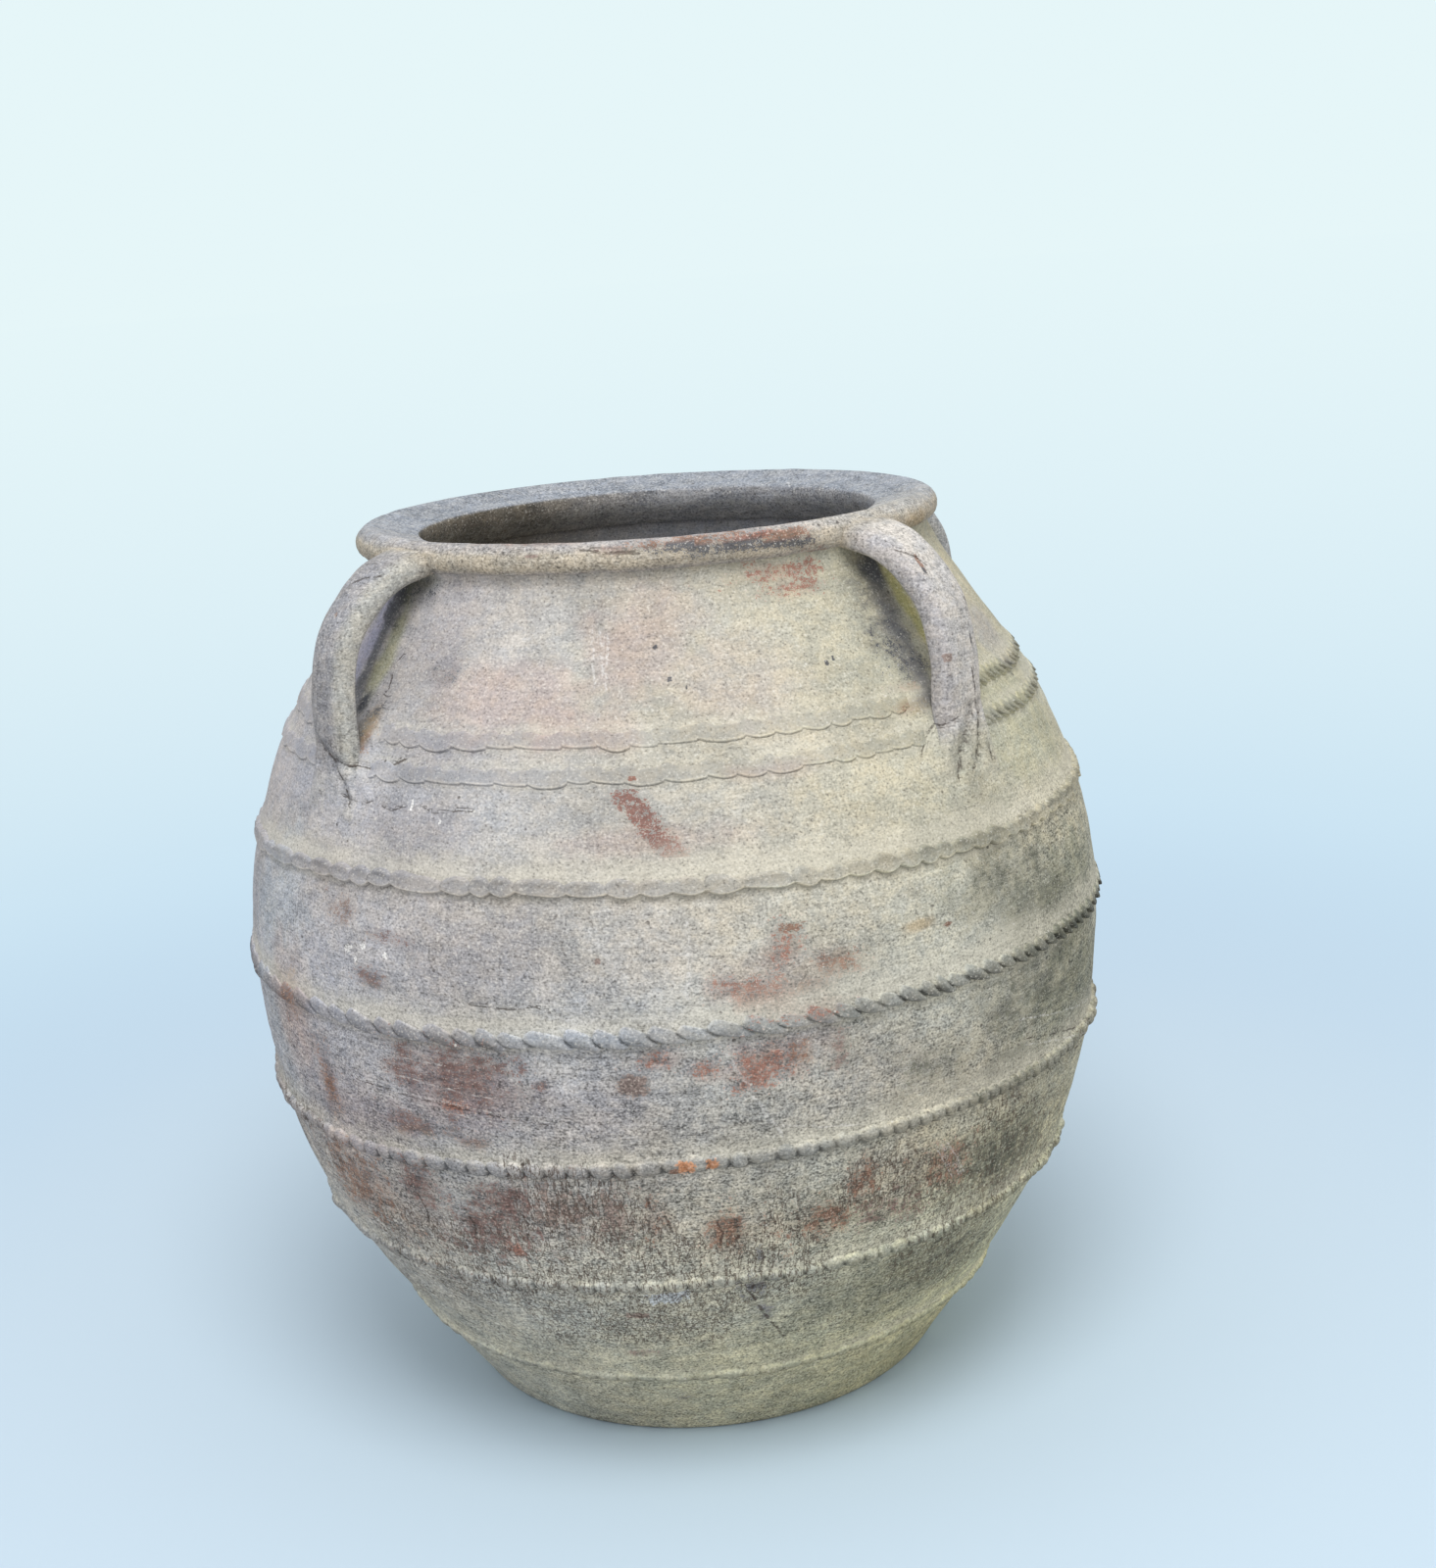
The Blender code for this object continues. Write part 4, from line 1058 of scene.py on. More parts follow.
def wall_piece(name, low_strip, high_strip=None):
    """A section of wall between two strips, or from a strip up to the rim's underside."""
    turn = angles(WALL_COLUMNS)
    low = strip_height(low_strip, turn)
    high = strip_height(high_strip, turn) if high_strip else np.full_like(turn, SHOULDER_TOP)
    outside = wall_point(turn, wall_rows(low, high, OUTSIDE_STEP))
    inside = inner_point(turn, wall_rows(low, high, INSIDE_STEP)[::-1])
    grid = np.concatenate((outside, inside))
    return ring_piece(name, grid, paint_wall(grid))


def foot_underside(turn):
    """Rows from the middle of the foot out to the top of its rounded edge."""
    foot = float(wall_radius(0.0)) - FOOT_BEVEL
    under = [(share * foot, 0.0) for share in (0.2, 0.4, 0.6, 0.75, 0.88, 0.96)]
    for bend in np.radians((0, 30, 60)):
        under.append((foot + FOOT_BEVEL * math.sin(bend), FOOT_BEVEL * (1 - math.cos(bend))))
    return np.stack([polar(turn, radius, height) for radius, height in under])


def floor_inside(turn):
    """Rows from the edge of the floor inside to its middle, with the spiral of the throwing."""
    edge = float(wall_radius(BASE_THICKNESS)) - WALL_THICKNESS - FLOOR_ROUNDING
    rows = []
    for share in (0.99, 0.94, 0.85, 0.7, 0.5, 0.3, 0.15):
        radius = edge * share
        dip = 0.004 * math.exp(-((1 - share) / 0.06))
        spiral = 0.0005 * np.sin(radius / 0.006 + turn)
        rows.append(polar(turn, radius, BASE_THICKNESS + dip + spiral))
    return np.stack(rows)


def foot_piece(name, high_strip):
    """The lowest wall and the base it stands on, one turned body closed below and inside."""
    turn = angles(WALL_COLUMNS)
    high = strip_height(high_strip, turn)
    outside = wall_point(turn, wall_rows(np.full_like(turn, FOOT_BEVEL), high, OUTSIDE_STEP))
    floor_low = np.full_like(turn, BASE_THICKNESS + FLOOR_ROUNDING)
    inside = inner_point(turn, wall_rows(floor_low, high, INSIDE_STEP)[::-1])
    grid = np.concatenate((foot_underside(turn), outside, inside, floor_inside(turn)))
    return ring_piece(name, grid, paint_wall(grid), (0, 0, 0), (0, 0, BASE_THICKNESS))


def lobe_chance(lobe, lobes, seed):
    """A number from -1 to 1 for each lobe."""
    cell = np.mod(lobe, lobes).astype(np.int64)
    return lattice((cell, 0 * cell, 0 * cell), seed) * 2 - 1


def band(value, level, width):
    """1 where a value is at a level, fading away over a width."""
    return np.exp(-((value - level) / width) ** 2)


def flat_lobes(along, across, lobes):
    """A flat band with wavy edges, its lower edge in overlapping arcs."""
    part, lobe = along % 1, np.floor(along)
    chance = lobe_chance(lobe, lobes, 71)
    top = 0.74 + 0.16 * np.sin(along * math.tau + 0.8) + 0.08 * np.sin(along * math.tau * 2.3)
    low = -0.56 - (0.26 + 0.20 * chance) * np.sin(math.pi * part) ** 0.8 - 0.16 * (part - 0.5)
    body = smooth(low - 0.06, low + 0.10, across) * (1 - smooth(top - 0.22, top + 0.04, across))
    shape = body * (0.86 + 0.14 * np.sin(along * math.tau + 2.0) + 0.10 * chance)
    drawn = smooth(0.0, 0.5, lobe_chance(lobe, lobes, 72) + 0.5)
    drawn = drawn * smooth(0.02, 0.3, part) * smooth(1.0, 0.75, part)
    # Painted shade: a dark line under the lower edge and along the top, and a faint darkening of the band
    under = 0.38 * band(across, low, 0.070) * drawn
    over = 0.30 * band(across, top - 0.04, 0.07) * smooth(0.0, 0.6, lobe_chance(lobe, lobes, 73))
    # Pale ledges: dust and painted highlight
    ledge_highlight_and_dust = 0.75 * band(across, top + 0.06, 0.10) + 0.50 * band(across, low + 0.16, 0.08)
    return shape, np.maximum(under, over) + 0.04 * body, ledge_highlight_and_dust, top


def wave_lobes(along, across, lobes):
    """A flat band whose lower edge hangs in shallow arcs and whose top edge is scalloped."""
    place = along + 0.10 * across
    part, lobe = place % 1, np.floor(place)
    chance, drawn = lobe_chance(lobe, lobes, 74), lobe_chance(lobe, lobes, 75)
    arch = np.sin(math.pi * part)
    low = -0.44 - (0.34 + 0.12 * chance) * arch ** 0.8
    top = 0.30 + (0.50 + 0.12 * chance) * arch ** 0.7
    body = smooth(low - 0.02, low + 0.12, across) * (1 - smooth(top - 0.35, top + 0.04, across))
    shape = body * (1.0 - 0.20 * part) * (1 + 0.12 * chance)
    # Painted shade over the face, at the lobes' joins and under the lower edge; the pale line above that edge
    # is dust and painted highlight
    crease_shade = body * (0.10 + 0.30 * (0.6 + 0.6 * drawn) * smooth(-0.4, 0.4, across))
    crease_shade = crease_shade + 0.40 * band(part, 0.02, 0.05) * smooth(-0.2, 0.2, across) * body
    crease_shade = np.maximum(crease_shade, (0.72 + 0.25 * drawn) * band(across, low - 0.03, 0.065))
    return shape, crease_shade, 0.80 * band(across, low + 0.12, 0.075), top


def leaf_lobes(along, across, lobes):
    """Lobes pressed over one another like leaves, each with a tip at its top and proud along its foot."""
    bend = smooth(0.15, -1.0, across)
    place = along + 0.30 * across - 0.42 * bend ** 1.5
    part, lobe = place % 1, np.floor(place)
    chance = lobe_chance(lobe, lobes, 74)
    size = 1 + 0.30 * chance
    arch = np.sin(math.pi * part)
    tip = np.minimum(part / 0.42, (1 - part) / 0.58)
    low = -0.56 - 0.32 * arch ** 0.8 * size
    top = np.minimum(0.14 + 0.74 * tip ** 0.75 * size, 0.98)
    drop = smooth(low, low + 0.20, across)
    nick = band(part, 1.0, 0.12) + 0.6 * band(part, 0.0, 0.07)
    nick = nick * (0.80 + 0.35 * lobe_chance(lobe, lobes, 75)) * smooth(0.95, 0.15, across)
    rise = np.clip((1 - across) / 1.3, 0, 1) ** 0.85 * (1 - smooth(top - 0.10, top + 0.15, across))
    shape = rise * drop * (1 - 0.50 * part) * size * (1 - 0.60 * nick)
    face = smooth(low - 0.02, low + 0.10, across) * (1 - smooth(top - 0.15, top + 0.10, across))
    # Painted shade in each lobe's cup, in its nicks and under its foot; the pale ledges are dust and painted
    # highlight
    cup_shade = face * smooth(0.85, -0.35, across) * smooth(1.1, 0.3, part) * (0.80 + 0.45 * chance)
    crease_shade = 0.14 * face + 0.60 * cup_shade + 0.85 * nick * smooth(0.9, 0.2, across)
    crease_shade = np.maximum(crease_shade, 0.85 * band(across, low - 0.05, 0.07))
    ledge_highlight_and_dust = 0.80 * band(across, low + 0.10, 0.07) + 0.45 * band(across, top + 0.04, 0.10)
    return shape, crease_shade, ledge_highlight_and_dust, top


def bead_lobes(along, across, lobes):
    """Round beads side by side on a low ridge."""
    place = along + 0.14 * across
    part, lobe = place % 1, np.floor(place)
    chance = lobe_chance(lobe, lobes, 76)
    reach = np.abs(2 * part - 1) ** 2.2 + np.abs(across / (0.86 + 0.10 * chance)) ** 2.2
    dome = np.sqrt(np.clip(1 - reach, 0, 1))
    shape = np.maximum(dome * (0.92 + 0.22 * chance), 0.12 * np.clip(1 - across ** 2, 0, 1))
    ring = band(reach, 0.95, 0.30)
    # Painted shade round each bead's lower side and between the beads; the pale upper outline is dust and
    # painted highlight
    crease_shade = 0.95 * ring * smooth(0.55, -0.10, across) + 0.14 * (dome > 0)
    crease_shade = crease_shade + 0.55 * (reach > 1) * smooth(0.45, -0.1, across) * smooth(-0.98, -0.75, across)
    ledge_highlight_and_dust = (0.70 + 0.25 * chance) * ring * smooth(0.20, 0.60, across)
    top = 0.80 * np.clip(1 - np.abs(2 * part - 1) ** 2.2, 0, 1) ** 0.45
    return shape, crease_shade * (0.85 + 0.2 * lobe_chance(lobe, lobes, 77)), ledge_highlight_and_dust, top


def soft_lobes(along, across, lobes):
    """A low ridge whose top edge only waves."""
    chance = lobe_chance(np.floor(along), lobes, 78)
    wave = np.abs(np.sin(math.pi * along)) * (0.8 + 0.3 * chance)
    top = 0.50 + 0.34 * wave
    ridge = np.clip(1 - (across / (0.66 + 0.24 * wave)) ** 2, 0, 1) ** 0.6
    shape = ridge * (0.66 + 0.34 * wave)
    # Painted shade under the ridge and where the wave dips; the pale top edge is dust and painted highlight
    crease_shade = 0.45 * smooth(top, -0.3, across) * smooth(-0.95, -0.6, across)
    crease_shade = crease_shade + 0.60 * band(across, -0.80, 0.12) + 0.4 * smooth(0.4, 0.0, wave) * (ridge > 0.05)
    return shape, crease_shade, (0.70 + 0.30 * chance) * band(across, top, 0.14), top


LOBES = {"flat": flat_lobes, "wave": wave_lobes, "leaf": leaf_lobes, "bead": bead_lobes, "soft": soft_lobes}


def mixed(one, other, share):
    """Lobes of one kind going over into another."""
    return [blend(a, b, share) for a, b in zip(one, other)]


def pressed_shape(kind, along, across, lobes, angle):
    """Rise of a strip as a share, the painted shade of its creases, its pale ledges of dust and painted
    highlight, and its top edge, by kind and by side.
    """
    pressed = LOBES[kind](along, across, lobes)
    if kind == "flat":
        thumbed = leaf_lobes(along * 1.5, across, round(lobes * 1.5))
        thumbed = (thumbed[0] * 2.0, thumbed[1] * 0.7, *thumbed[2:])
        pressed = mixed(pressed, thumbed, smooth(0.80, 0.95, angle) * smooth(2.6, 2.3, angle))
    if kind == "bead":
        smeared = soft_lobes(along, across, lobes)
        pressed = mixed(pressed, smeared, smooth(0.05, 0.30, angle) * smooth(1.3, 0.9, angle) * 0.50)
    if kind in ("leaf", "wave"):
        # The painted crease shade is bolder away from the front middle and on the right
        bold = 0.62 + 0.38 * smooth(0.12, 0.45, np.abs(angle - 0.06)) + 0.30 * smooth(0.3, 0.8, angle)
        pressed = (pressed[0], pressed[1] * bold, *pressed[2:])
    return pressed


def crowded(turn):
    """How far the lobes are pushed along so that they sit closer on the right."""
    start, end, push = CROWD
    past = (turn - start) % math.tau
    return push * (smooth(0, end - start, past) - smooth(end - start, math.tau, past))


def strip_piece(name):
    """A strip of clay laid round the wall and pressed into lobes."""
    kind, pitch, half, rise = STRIPS[name]
    level = float(STRIP_FITS[name][0])
    lobes = round(math.tau * float(wall_radius(level)) / pitch)
    turn = angles(STRIP_COLUMNS)[None, :]
    across = np.linspace(-1, 1, STRIP_ROWS)[:, None]
    middle = polar(turn, STRIP_RADIUS, level)
    along = (turn + math.pi + crowded(turn)) / math.tau * lobes
    along = along + 0.40 * noise(middle, 0.050, 53) + 0.22 * noise(middle, 0.019, 56)
    shape, crease_shade, ledge_highlight_and_dust, top = pressed_shape(kind, along, across, lobes, turn)
    worn = 0.85 + 0.22 * noise(middle, 0.045, 52)
    height = strip_height(name, turn) + half * (across + 0.12 * noise(middle, 0.030, 54))
    points = polar(turn, STRIP_RADIUS, height)
    out = rise * shape * worn + 0.00016 * noise(points, 0.0040, 55) * (shape > 0.1)
    bury = smooth(0.10, 0.0, shape) * 0.0006
    if kind == "flat":
        bury = np.maximum(bury, 0.0030 * near_root(turn, height))
    surface = wall_point(turn + 0 * across, height, out - bury)
    sunk_high = wall_point(turn, height[-1:], -STRIP_BURIED)
    sunk_low = wall_point(turn, height[:1], -STRIP_BURIED)
    grid = np.concatenate((surface, sunk_high, sunk_low))
    crest = smooth(top - 0.05, top + 0.20, across)
    # Painted crease shade, ledge highlight with dust and the dusty crest, none on the sunk edges
    crease_shades, ledge_highlights_and_dust, crests = (np.concatenate((part, 0 * turn, 0 * turn)) for part in (crease_shade, ledge_highlight_and_dust, crest))
    return ring_piece("pressed_" + name, grid, paint_strip(grid, crease_shades, ledge_highlights_and_dust, crests))


def rim_piece():
    """The rolled rim, from the crease under its lip over the dished top into the mouth."""
    turn = angles(WALL_COLUMNS)
    rows = []
    for radius, height in RIM_SECTION:
        points = polar(turn, radius, height)
        wobble = 0.0007 * noise(points, 0.09, 61) + 0.0003 * noise(points, 0.03, 62)
        wobble = wobble * smooth(0.600, 0.612, height)
        dent = 0.0004 * noise(points, 0.014, 63)
        rows.append(polar(turn, radius - 0.0008 + wobble, height - 0.0006 + dent))
    grid = np.stack(rows)
    return ring_piece("rim", grid, paint_rim(grid))


def strap_points(t, degrees, side, out):
    """The strap's smooth surface at shares along its way, across it and out of it."""
    radius, height = handle_line(t)
    r0, z0 = handle_line(np.maximum(t - 0.01, 0))
    r1, z1 = handle_line(np.minimum(t + 0.01, 1))
    length = np.hypot(r1 - r0, z1 - z0)
    out_r, out_z = (z0 - z1) / length, (r1 - r0) / length
    *_, thickness = handle_row(t)
    rise = HANDLE_THICKNESS / 2 * thickness * out
    across = handle_half_width(t) * side
    far = radius + out_r * rise
    angle = math.radians(degrees)
    x = math.cos(angle) * far - math.sin(angle) * across
    y = math.sin(angle) * far + math.cos(angle) * across
    return np.stack(np.broadcast_arrays(x, y, height + out_z * rise), -1)


def handle_piece(name, degrees):
    """A strap pulled from the rim to the shoulder, with the fingers' grooves in its root."""
    t = np.linspace(0, 1, HANDLE_STEPS)[:, None]
    ring = np.arange(HANDLE_SIDES) * (math.tau / HANDLE_SIDES)
    side_wave, out_wave = np.cos(ring), np.sin(ring)
    side = np.sign(side_wave) * np.abs(side_wave) ** 0.72
    out = np.where(out_wave > 0, np.abs(out_wave) ** 0.72, -np.abs(out_wave) ** 0.55 * 0.92)
    points = strap_points(t, degrees, side, out)
    lump = 0.0006 * fractal(points, 0.030, 71, 2) + 0.0004 * noise(points, 0.011, 72)
    off_front, _, level = place_of(points)
    lump = lump - root_grooves(off_front, level) * smooth(0.60, 0.72, t) * (out_wave > 0)
    angle = math.radians(degrees)
    points = points + np.stack((math.cos(angle) * lump, math.sin(angle) * lump, 0 * lump), -1)
    middle = points.mean(1)
    painted = paint_strap(points, *STRAP_CLAYS[name], t, side + 0 * t, out_wave + 0 * t)
    painted = {layer: values[::-1] for layer, values in painted.items()}
    return ring_piece("strap_" + name, points[::-1], painted, middle[-1], middle[0])


class Value:
    """A number that a node gives. Sums and products of values are Math nodes."""

    def __init__(self, shading, socket):
        self.shading = shading
        self.socket = socket

    def calc(self, operation, other=0.0):
        """This value and another put through a Math node."""
        return self.shading.value("Math", {0: self, 1: other}, operation=operation)

    def __add__(self, other):
        return self.calc("ADD", other)

    def __sub__(self, other):
        return self.calc("SUBTRACT", other)

    def __mul__(self, other):
        return self.calc("MULTIPLY", other)

    def around(self, gain):
        """A noise made to swing about 0."""
        return (self - 0.5) * gain

    def off(self, level):
        """How far the value is from a level."""
        return (self - level).calc("ABSOLUTE")

    def step(self, low, high):
        """0 to 1 as the value goes from low to high, smoothly."""
        sockets = {"Value": self, "From Min": low, "From Max": high}
        return self.shading.value("MapRange", sockets, interpolation_type="SMOOTHSTEP")


class Shading:
    """Short calls for building the nodes of a material or a world."""

    def __init__(self, block):
        block.use_nodes = True
        self.block = block
        self.tree = block.node_tree
        self.tree.nodes.clear()

    def plug(self, value, socket):
        """Link an output into a socket, or set the socket to a number, direction or colour."""
        if isinstance(value, Value):
            value = value.socket
        if isinstance(value, bpy.types.NodeSocket):
            self.tree.links.new(value, socket)
        elif socket.type == "RGBA":
            socket.default_value = (*value, 1)
        else:
            socket.default_value = value

    def add(self, kind, inputs, **settings):
        """The outputs of a new node with its settings and inputs."""
        node = self.tree.nodes.new("ShaderNode" + kind)
        for name, setting in settings.items():
            setattr(node, name, setting)
        for key, value in inputs.items():
            self.plug(value, node.inputs[key])
        return node.outputs

    def value(self, kind, inputs, output=0, **settings):
        """An output of a new node as a value."""
        return Value(self, self.add(kind, inputs, **settings)[output])

    def place(self):
        """The place on the object, in metres."""
        return self.add("TexCoord", {})["Object"]

    def noise(self, size, detail, roughness, squeeze=(1.0, 1.0, 1.0)):
        """Noise whose blobs are about a size across, from 0 to 1 about 0.5."""
        place = self.add("VectorMath", {0: self.place(), 1: squeeze}, operation="MULTIPLY")[0]
        sockets = {"Vector": place, "Scale": 1 / size, "Detail": detail, "Roughness": roughness}
        return self.value("TexNoise", sockets, "Fac")

    def cells(self, size):
        """Distance to the middle of the nearest cell, as a share of about the cell's size."""
        return self.value("TexVoronoi", {"Vector": self.place(), "Scale": 1 / size}, "Distance")

    def layer(self, name):
        """The colour and the alpha of a painted layer of the mesh."""
        outputs = self.add("Attribute", {}, attribute_name=name)
        return outputs["Color"], Value(self, outputs["Alpha"])

    def parts(self, colour):
        """The three parts of a colour."""
        return [Value(self, part) for part in self.add("SeparateColor", {0: colour})[:3]]

    def grey(self, value):
        """A value as a grey colour."""
        return self.add("CombineColor", {0: value, 1: value, 2: value})[0]

    def mix(self, share, a, b, blend_type="MIX"):
        """Colour b over colour a by a share."""
        sockets = {"Factor": share, 6: a, 7: b}
        return self.add("Mix", sockets, data_type="RGBA", blend_type=blend_type, clamp_factor=True)[2]

    def tinted(self, a, b):
        """The product of two colours."""
        return self.mix(1.0, a, b, "MULTIPLY")

    def over(self, share, a, b):
        """Surface b over surface a by a share."""
        return self.add("MixShader", {0: share, 1: a, 2: b})[0]

    def seen_rays(self):
        """1 for the rays that show the backdrop: the camera's own, and those off or through a surface."""
        path = self.add("LightPath", {})
        seen = Value(self, path["Is Camera Ray"])
        for kind in ("Is Glossy Ray", "Is Transmission Ray"):
            seen = seen.calc("MAXIMUM", path[kind])
        return seen

    def finish(self, surface, kind="Material"):
        """The material or world, ended in a surface."""
        self.add("Output" + kind, {0: surface})
        return self.block


class Clay(Shading):
    """Old fired clay: painted tints under fine grain, pits, cracks, worn red, dust and soot."""

    def __init__(self, name):
        super().__init__(bpy.data.materials.new(name))
        self.tint, self.gain = self.layer("tint")
        wear, self.crackle = self.layer("wear")
        self.red, self.dust, self.soot = self.parts(wear)
        self.marks, self.mark_depth = self.layer("marks")
        fields, self.pale_near = self.layer("lines")
        self.dark_field, self.dark_near, self.pale_field = self.parts(fields)
        self.speck = self.noise(*SPECKS)
        self.grain = self.noise(*GRAIN)
        self.blotch = self.noise(*BLOTCHES)
        self.broad = self.noise(*BROAD_BLOTCHES)
        self.wiped = self.noise(*WIPED_LINES)
        self.streaks = self.noise(*STREAKS)
        self.drawn = self.noise(*DRAWN_LINES)
        self.ragged = self.grain.around(0.7) + self.streaks.around(1.5)

    def lightness(self, rubbed):
        """How light the grain makes the clay, drawn out along it where it is rubbed."""
        swing = self.speck.around(1.65) + self.grain.around(0.92) + self.blotch.around(0.70)
        swing = swing + self.broad.around(0.40) + self.wiped.around(0.80) + self.drawn.around(rubbed)
        return (swing * self.gain + 1.0).calc("MAXIMUM", DARKEST)

    def grained(self, light):
        """The painted tint under the grain, cooler and warmer in blotches."""
        colour = self.tinted(self.tint, self.grey(light))
        return self.tinted(colour, self.mix(self.blotch.step(0.40, 0.60), COOL, WARM))

    def marked(self, colour, light):
        """A colour under the placed marks, in dots that run upright where the clay is crackled."""
        upright = self.drawn.around(2.2) * self.crackle
        stipple = self.speck.around(1.3) + self.grain.around(1.5) + self.streaks.around(1.0) + upright
        shown = (self.mark_depth + stipple).step(0.24, 0.30) * 0.88
        return self.mix(shown, colour, self.tinted(self.marks, self.grey(light)))

    def dusted(self, colour, light):
        """A colour under the pale dust that settled on it."""
        settled = (self.dust + self.ragged * 0.5).step(0.12, 0.72) * 0.85
        cream = self.mix(0.65, self.tinted(self.tint, DUST_GAIN), DUST)
        cream = self.tinted(cream, self.grey(light * 0.55 + 0.45))
        return self.mix(settled, colour, cream)

    def pits(self):
        """Round pits, in some places only."""
        return self.cells(0.016).step(0.10, 0.045) * self.broad.step(0.50, 0.62)

    def veins(self):
        """Upright cracks where the clay is crackled."""
        return self.drawn.off(0.5).step(0.032, 0.008) * (self.crackle + self.broad).step(0.75, 1.05)

    def hairs(self):
        """The finest cracks, broken by the grain."""
        hair = self.streaks.off(0.5).step(0.012, 0.002)
        return hair * self.grain.step(0.48, 0.56) * self.broad.step(0.46, 0.58)

    def dark_grit(self):
        """Dark grit, more of it where the grain is strong."""
        return self.cells(0.0060).step(0.17, 0.10) * self.blotch.step(0.50, 0.56) * self.gain

    def pale_grit(self):
        """Pale grit."""
        return self.cells(0.0085).step(0.13, 0.08) * self.streaks.step(0.54, 0.58)

    def line(self, field, near, gaps):
        """A placed line from its field: ragged, and broken where the gaps say so."""
        jitter = self.grain.around(4.0) + self.streaks.around(7.0)
        return (field + jitter).calc("ABSOLUTE").step(1.5, 0.5) * near * gaps

    def bumped(self, vein, pit, crack, worn):
        """The surface's direction, with the grain raised and the cracks and pits sunk."""
        raised = self.speck * 0.12 + self.grain * 0.30 + self.blotch * 0.50 + self.wiped * 0.22
        raised = raised + self.drawn * self.crackle * 0.80
        sunk = vein * 0.35 + pit * 0.60 + crack * 0.60 + worn * 0.12
        return self.add("Bump", {"Strength": 1.0, "Distance": GRAIN_DEPTH, "Height": raised - sunk})[0]


def weathered_clay(name, rubbed):
    """The material of the whole jar, more or less rubbed along its grain."""
    clay = Clay(name)
    light, pit, vein = clay.lightness(rubbed), clay.pits(), clay.veins()
    worn = (clay.red + clay.ragged).step(0.40, 0.58)
    crack = clay.line(clay.dark_field, clay.dark_near, clay.streaks.step(0.42, 0.56))
    scratch = clay.line(clay.pale_field, clay.pale_near, clay.grain.step(0.44, 0.60))
    reddened = clay.mix(clay.grain.step(0.35, 0.65), BROWN, TERRACOTTA)
    colour = clay.mix(worn * 0.72, clay.grained(light), reddened)
    colour = clay.dusted(clay.marked(colour, light), light)
    colour = clay.mix((clay.soot + clay.ragged * 0.6).step(0.15, 0.60), colour, SOOT)
    for share, shade in (
        (clay.speck.step(0.61, 0.67) * 0.50, PALE_SPECK), (clay.speck.step(0.37, 0.31) * 0.50, DARK_SPECK),
        (pit * 0.75, PIT), (vein * 0.70, VEIN), (clay.hairs() * 0.45, HAIR),
        (clay.dark_grit() * 0.38, DARK_GRIT), (clay.pale_grit() * 0.65, PALE_GRIT),
        (scratch * 0.55, WHITE), (crack * 0.72, CRACK),
    ):
        colour = clay.mix(share, colour, shade)
    sockets = {"Base Color": colour, "Roughness": clay.blotch * 0.25 + 0.74,
               "Normal": clay.bumped(vein, pit, crack, worn), "Specular IOR Level": SPECULAR}
    return clay.finish(clay.add("BsdfPrincipled", sockets)[0])


def build_jar():
    """Make every piece and set it in the frame."""
    clay = weathered_clay("weathered_clay", 0.25)
    rubbed_clay = weathered_clay("rubbed_clay", 0.90)
    low_strip, high_strip = "under_belly_thumbed_strip", "shoulder_thumbed_strip"
    pieces = [
        (foot_piece("foot_wall", low_strip), ("base_slab", "lower_wall"), "lower_clay"),
        (wall_piece("belly", low_strip, high_strip), ("belly_wall",), "belly_clay"),
        (wall_piece("shoulder", high_strip), ("shoulder_wall",), "shoulder_clay"),
        (rim_piece(), ("rim_ring",), "rim_clay"),
    ]
    pieces += [(strip_piece(name), (name,), "strip_clay") for name in STRIPS]
    pieces += [(handle_piece(name, degrees), (name,), "handle_clay") for name, degrees in HANDLES.items()]
    for piece, nodes, slot in pieces:
        piece.data.materials.append(rubbed_clay if slot == "handle_clay" else clay)
        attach(piece, "root")
        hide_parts(*nodes)


def add_camera():
    """The camera at the picture's viewing angle."""
    yaw, pitch, roll = (math.radians(a) for a in (CAMERA_YAW, CAMERA_PITCH, CAMERA_ROLL))
    forward = np.array((math.sin(yaw) * math.cos(pitch), math.cos(yaw) * math.cos(pitch), -math.sin(pitch)))
    level = np.array((math.cos(yaw), -math.sin(yaw), 0.0))
    up = np.cross(level, forward)
    right = math.cos(roll) * level + math.sin(roll) * up
    above = -math.sin(roll) * level + math.cos(roll) * up
    pose = Matrix.Identity(4)
    for row in range(3):
        pose[row][0], pose[row][1], pose[row][2] = right[row], above[row], -forward[row]
    pose.translation = (0, -CAMERA_DISTANCE, CAMERA_HEIGHT)
    data = bpy.data.cameras.new("camera")
    data.sensor_width = SENSOR_WIDTH
    data.lens = FOCAL_PIXELS / PICTURE_HEIGHT * SENSOR_WIDTH
    camera = link(data, "camera")
    camera.matrix_world = Matrix.Rotation(FRONT + math.radians(90), 4, "Z") @ pose
    bpy.context.scene.camera = camera


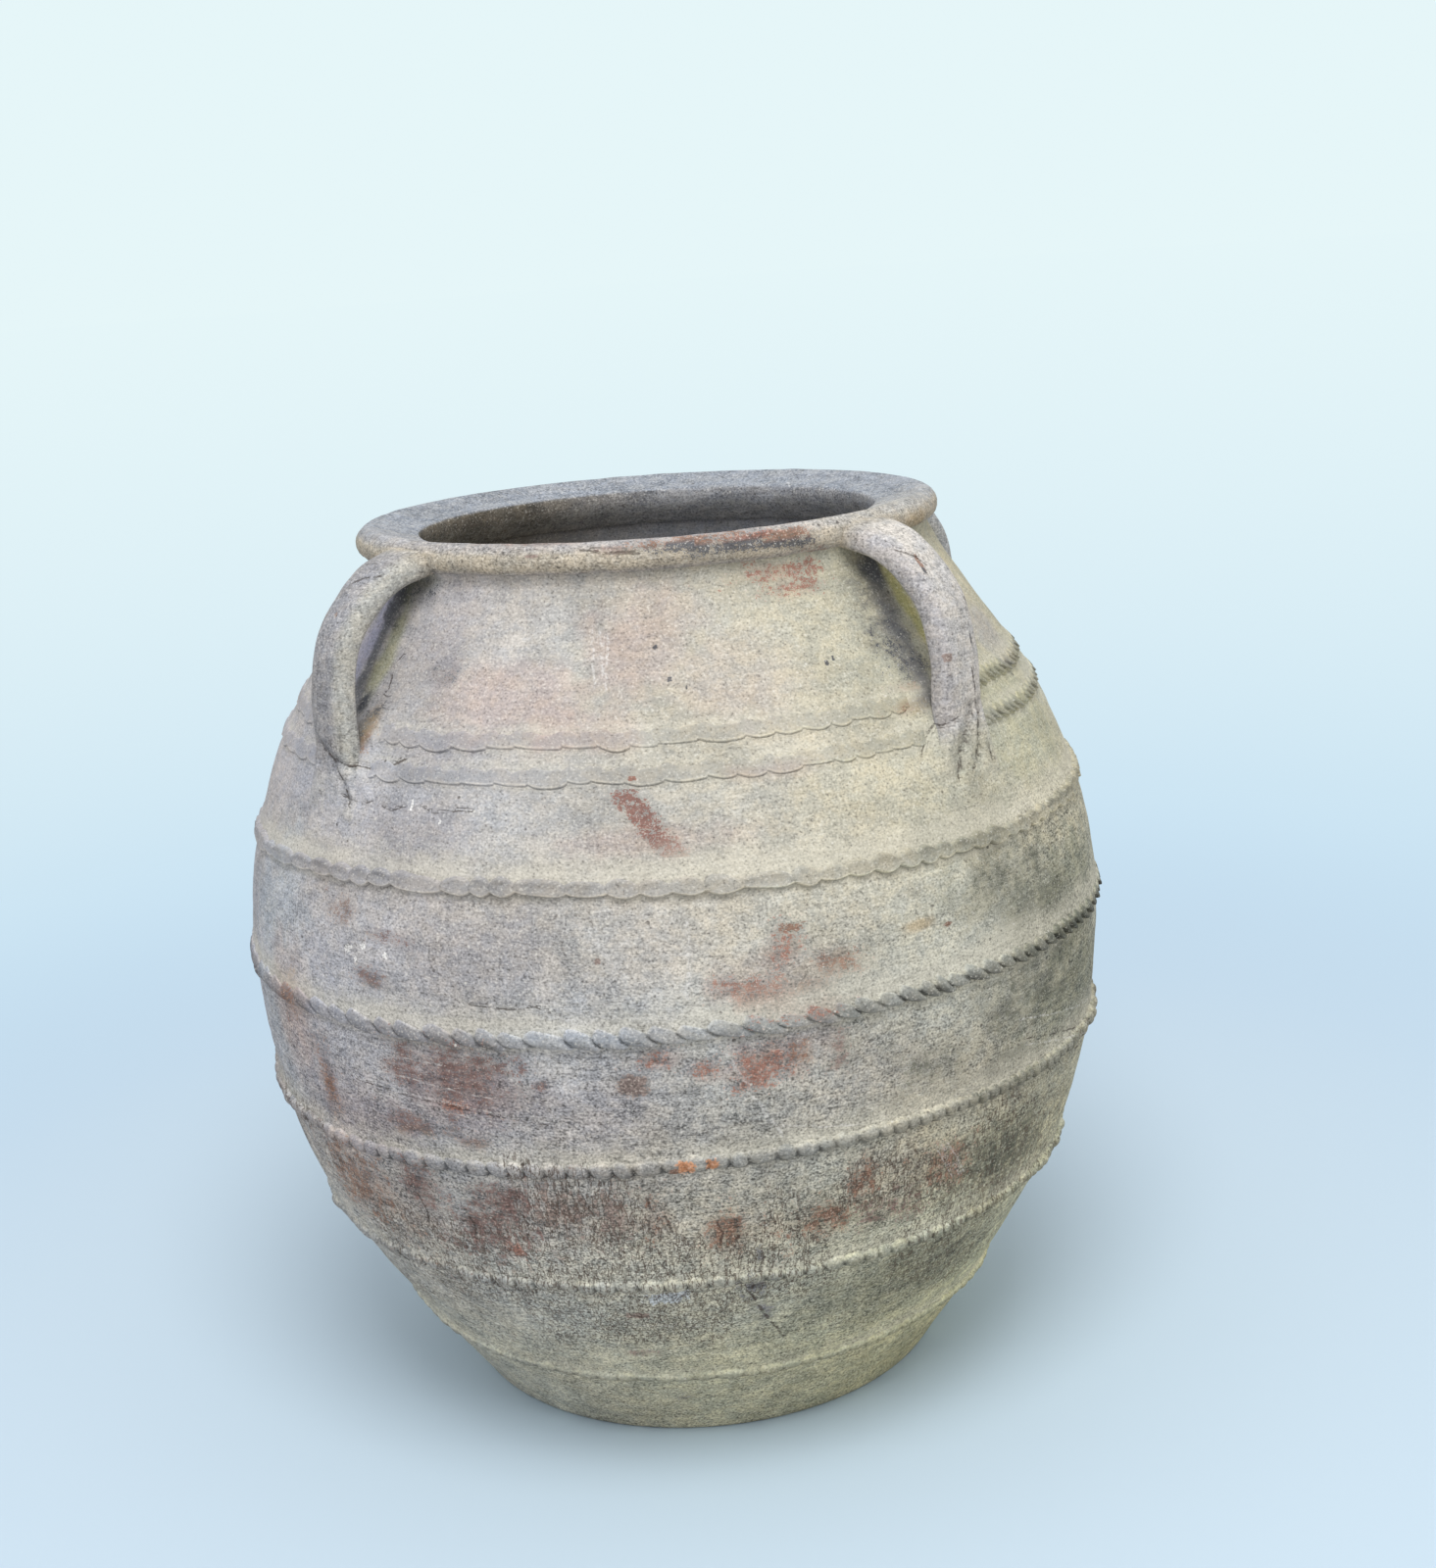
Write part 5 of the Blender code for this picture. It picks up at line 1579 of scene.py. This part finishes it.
def floor_material():
    """A pale floor that shows the jar's shadow near it and fades into the backdrop far off."""
    s = Shading(bpy.data.materials.new("floor"))
    distance = s.value("VectorMath", {0: s.place()}, "Value", operation="LENGTH")
    nearness = s.value("Math", {0: BACKDROP_NEAR, 1: distance}, operation="DIVIDE")
    far_colour = s.add("ValToRGB", {0: nearness})[0]
    colours = far_colour.node.color_ramp.elements
    colours[0].color = (*BACKDROP_TOP, 1)
    colours[1].color = (*BACKDROP_LOW, 1)
    colours.new(0.5).color = (*BACKDROP, 1)
    near = s.add("BsdfDiffuse", {"Color": FLOOR_SHOWN})[0]
    far = s.add("Emission", {"Color": far_colour})[0]
    bounce = s.add("BsdfDiffuse", {"Color": FLOOR_BOUNCE})[0]
    shown = s.over(distance.step(FLOOR_NEAR, FLOOR_FAR), near, far)
    return s.finish(s.over(s.seen_rays(), bounce, shown))


def add_world():
    """Even studio light all round, with a pale backdrop where the camera sees it."""
    world = bpy.data.worlds.new("studio")
    bpy.context.scene.world = world
    s = Shading(world)
    light = s.add("Background", {"Color": STUDIO_COLOUR, "Strength": STUDIO_STRENGTH})[0]
    seen = s.add("Background", {"Color": BACKDROP_TOP})[0]
    s.finish(s.over(s.seen_rays(), light, seen), "World")


def add_lamp():
    """A soft round lamp that looks at the jar's middle."""
    data = bpy.data.lights.new("key", "AREA")
    data.shape = "DISK"
    data.size = LAMP_SIZE
    data.energy = LAMP_WATTS
    data.color = LAMP_COLOUR
    lamp = link(data, "key")
    lamp.location = Vector(polar(math.radians(LAMP_SIDE), LAMP_DISTANCE, LAMP_HEIGHT))
    middle = (CAD_LOW + CAD_HIGH) / 2
    lamp.rotation_euler = (middle - lamp.location).to_track_quat("-Z", "Y").to_euler()


def add_stage():
    """A pale floor and soft studio light."""
    bpy.context.scene.view_settings.view_transform = "Standard"
    mesh = bpy.data.meshes.new("floor")
    corners = [(x * FLOOR_REACH, y * FLOOR_REACH, 0) for x, y in ((-1, -1), (1, -1), (1, 1), (-1, 1))]
    mesh.from_pydata(corners, [], [(0, 1, 2, 3)])
    mesh.materials.append(floor_material())
    floor = link(mesh, "floor")
    floor.location.z = -FLOOR_GAP
    add_world()
    add_lamp()


build_jar()
add_camera()
add_stage()
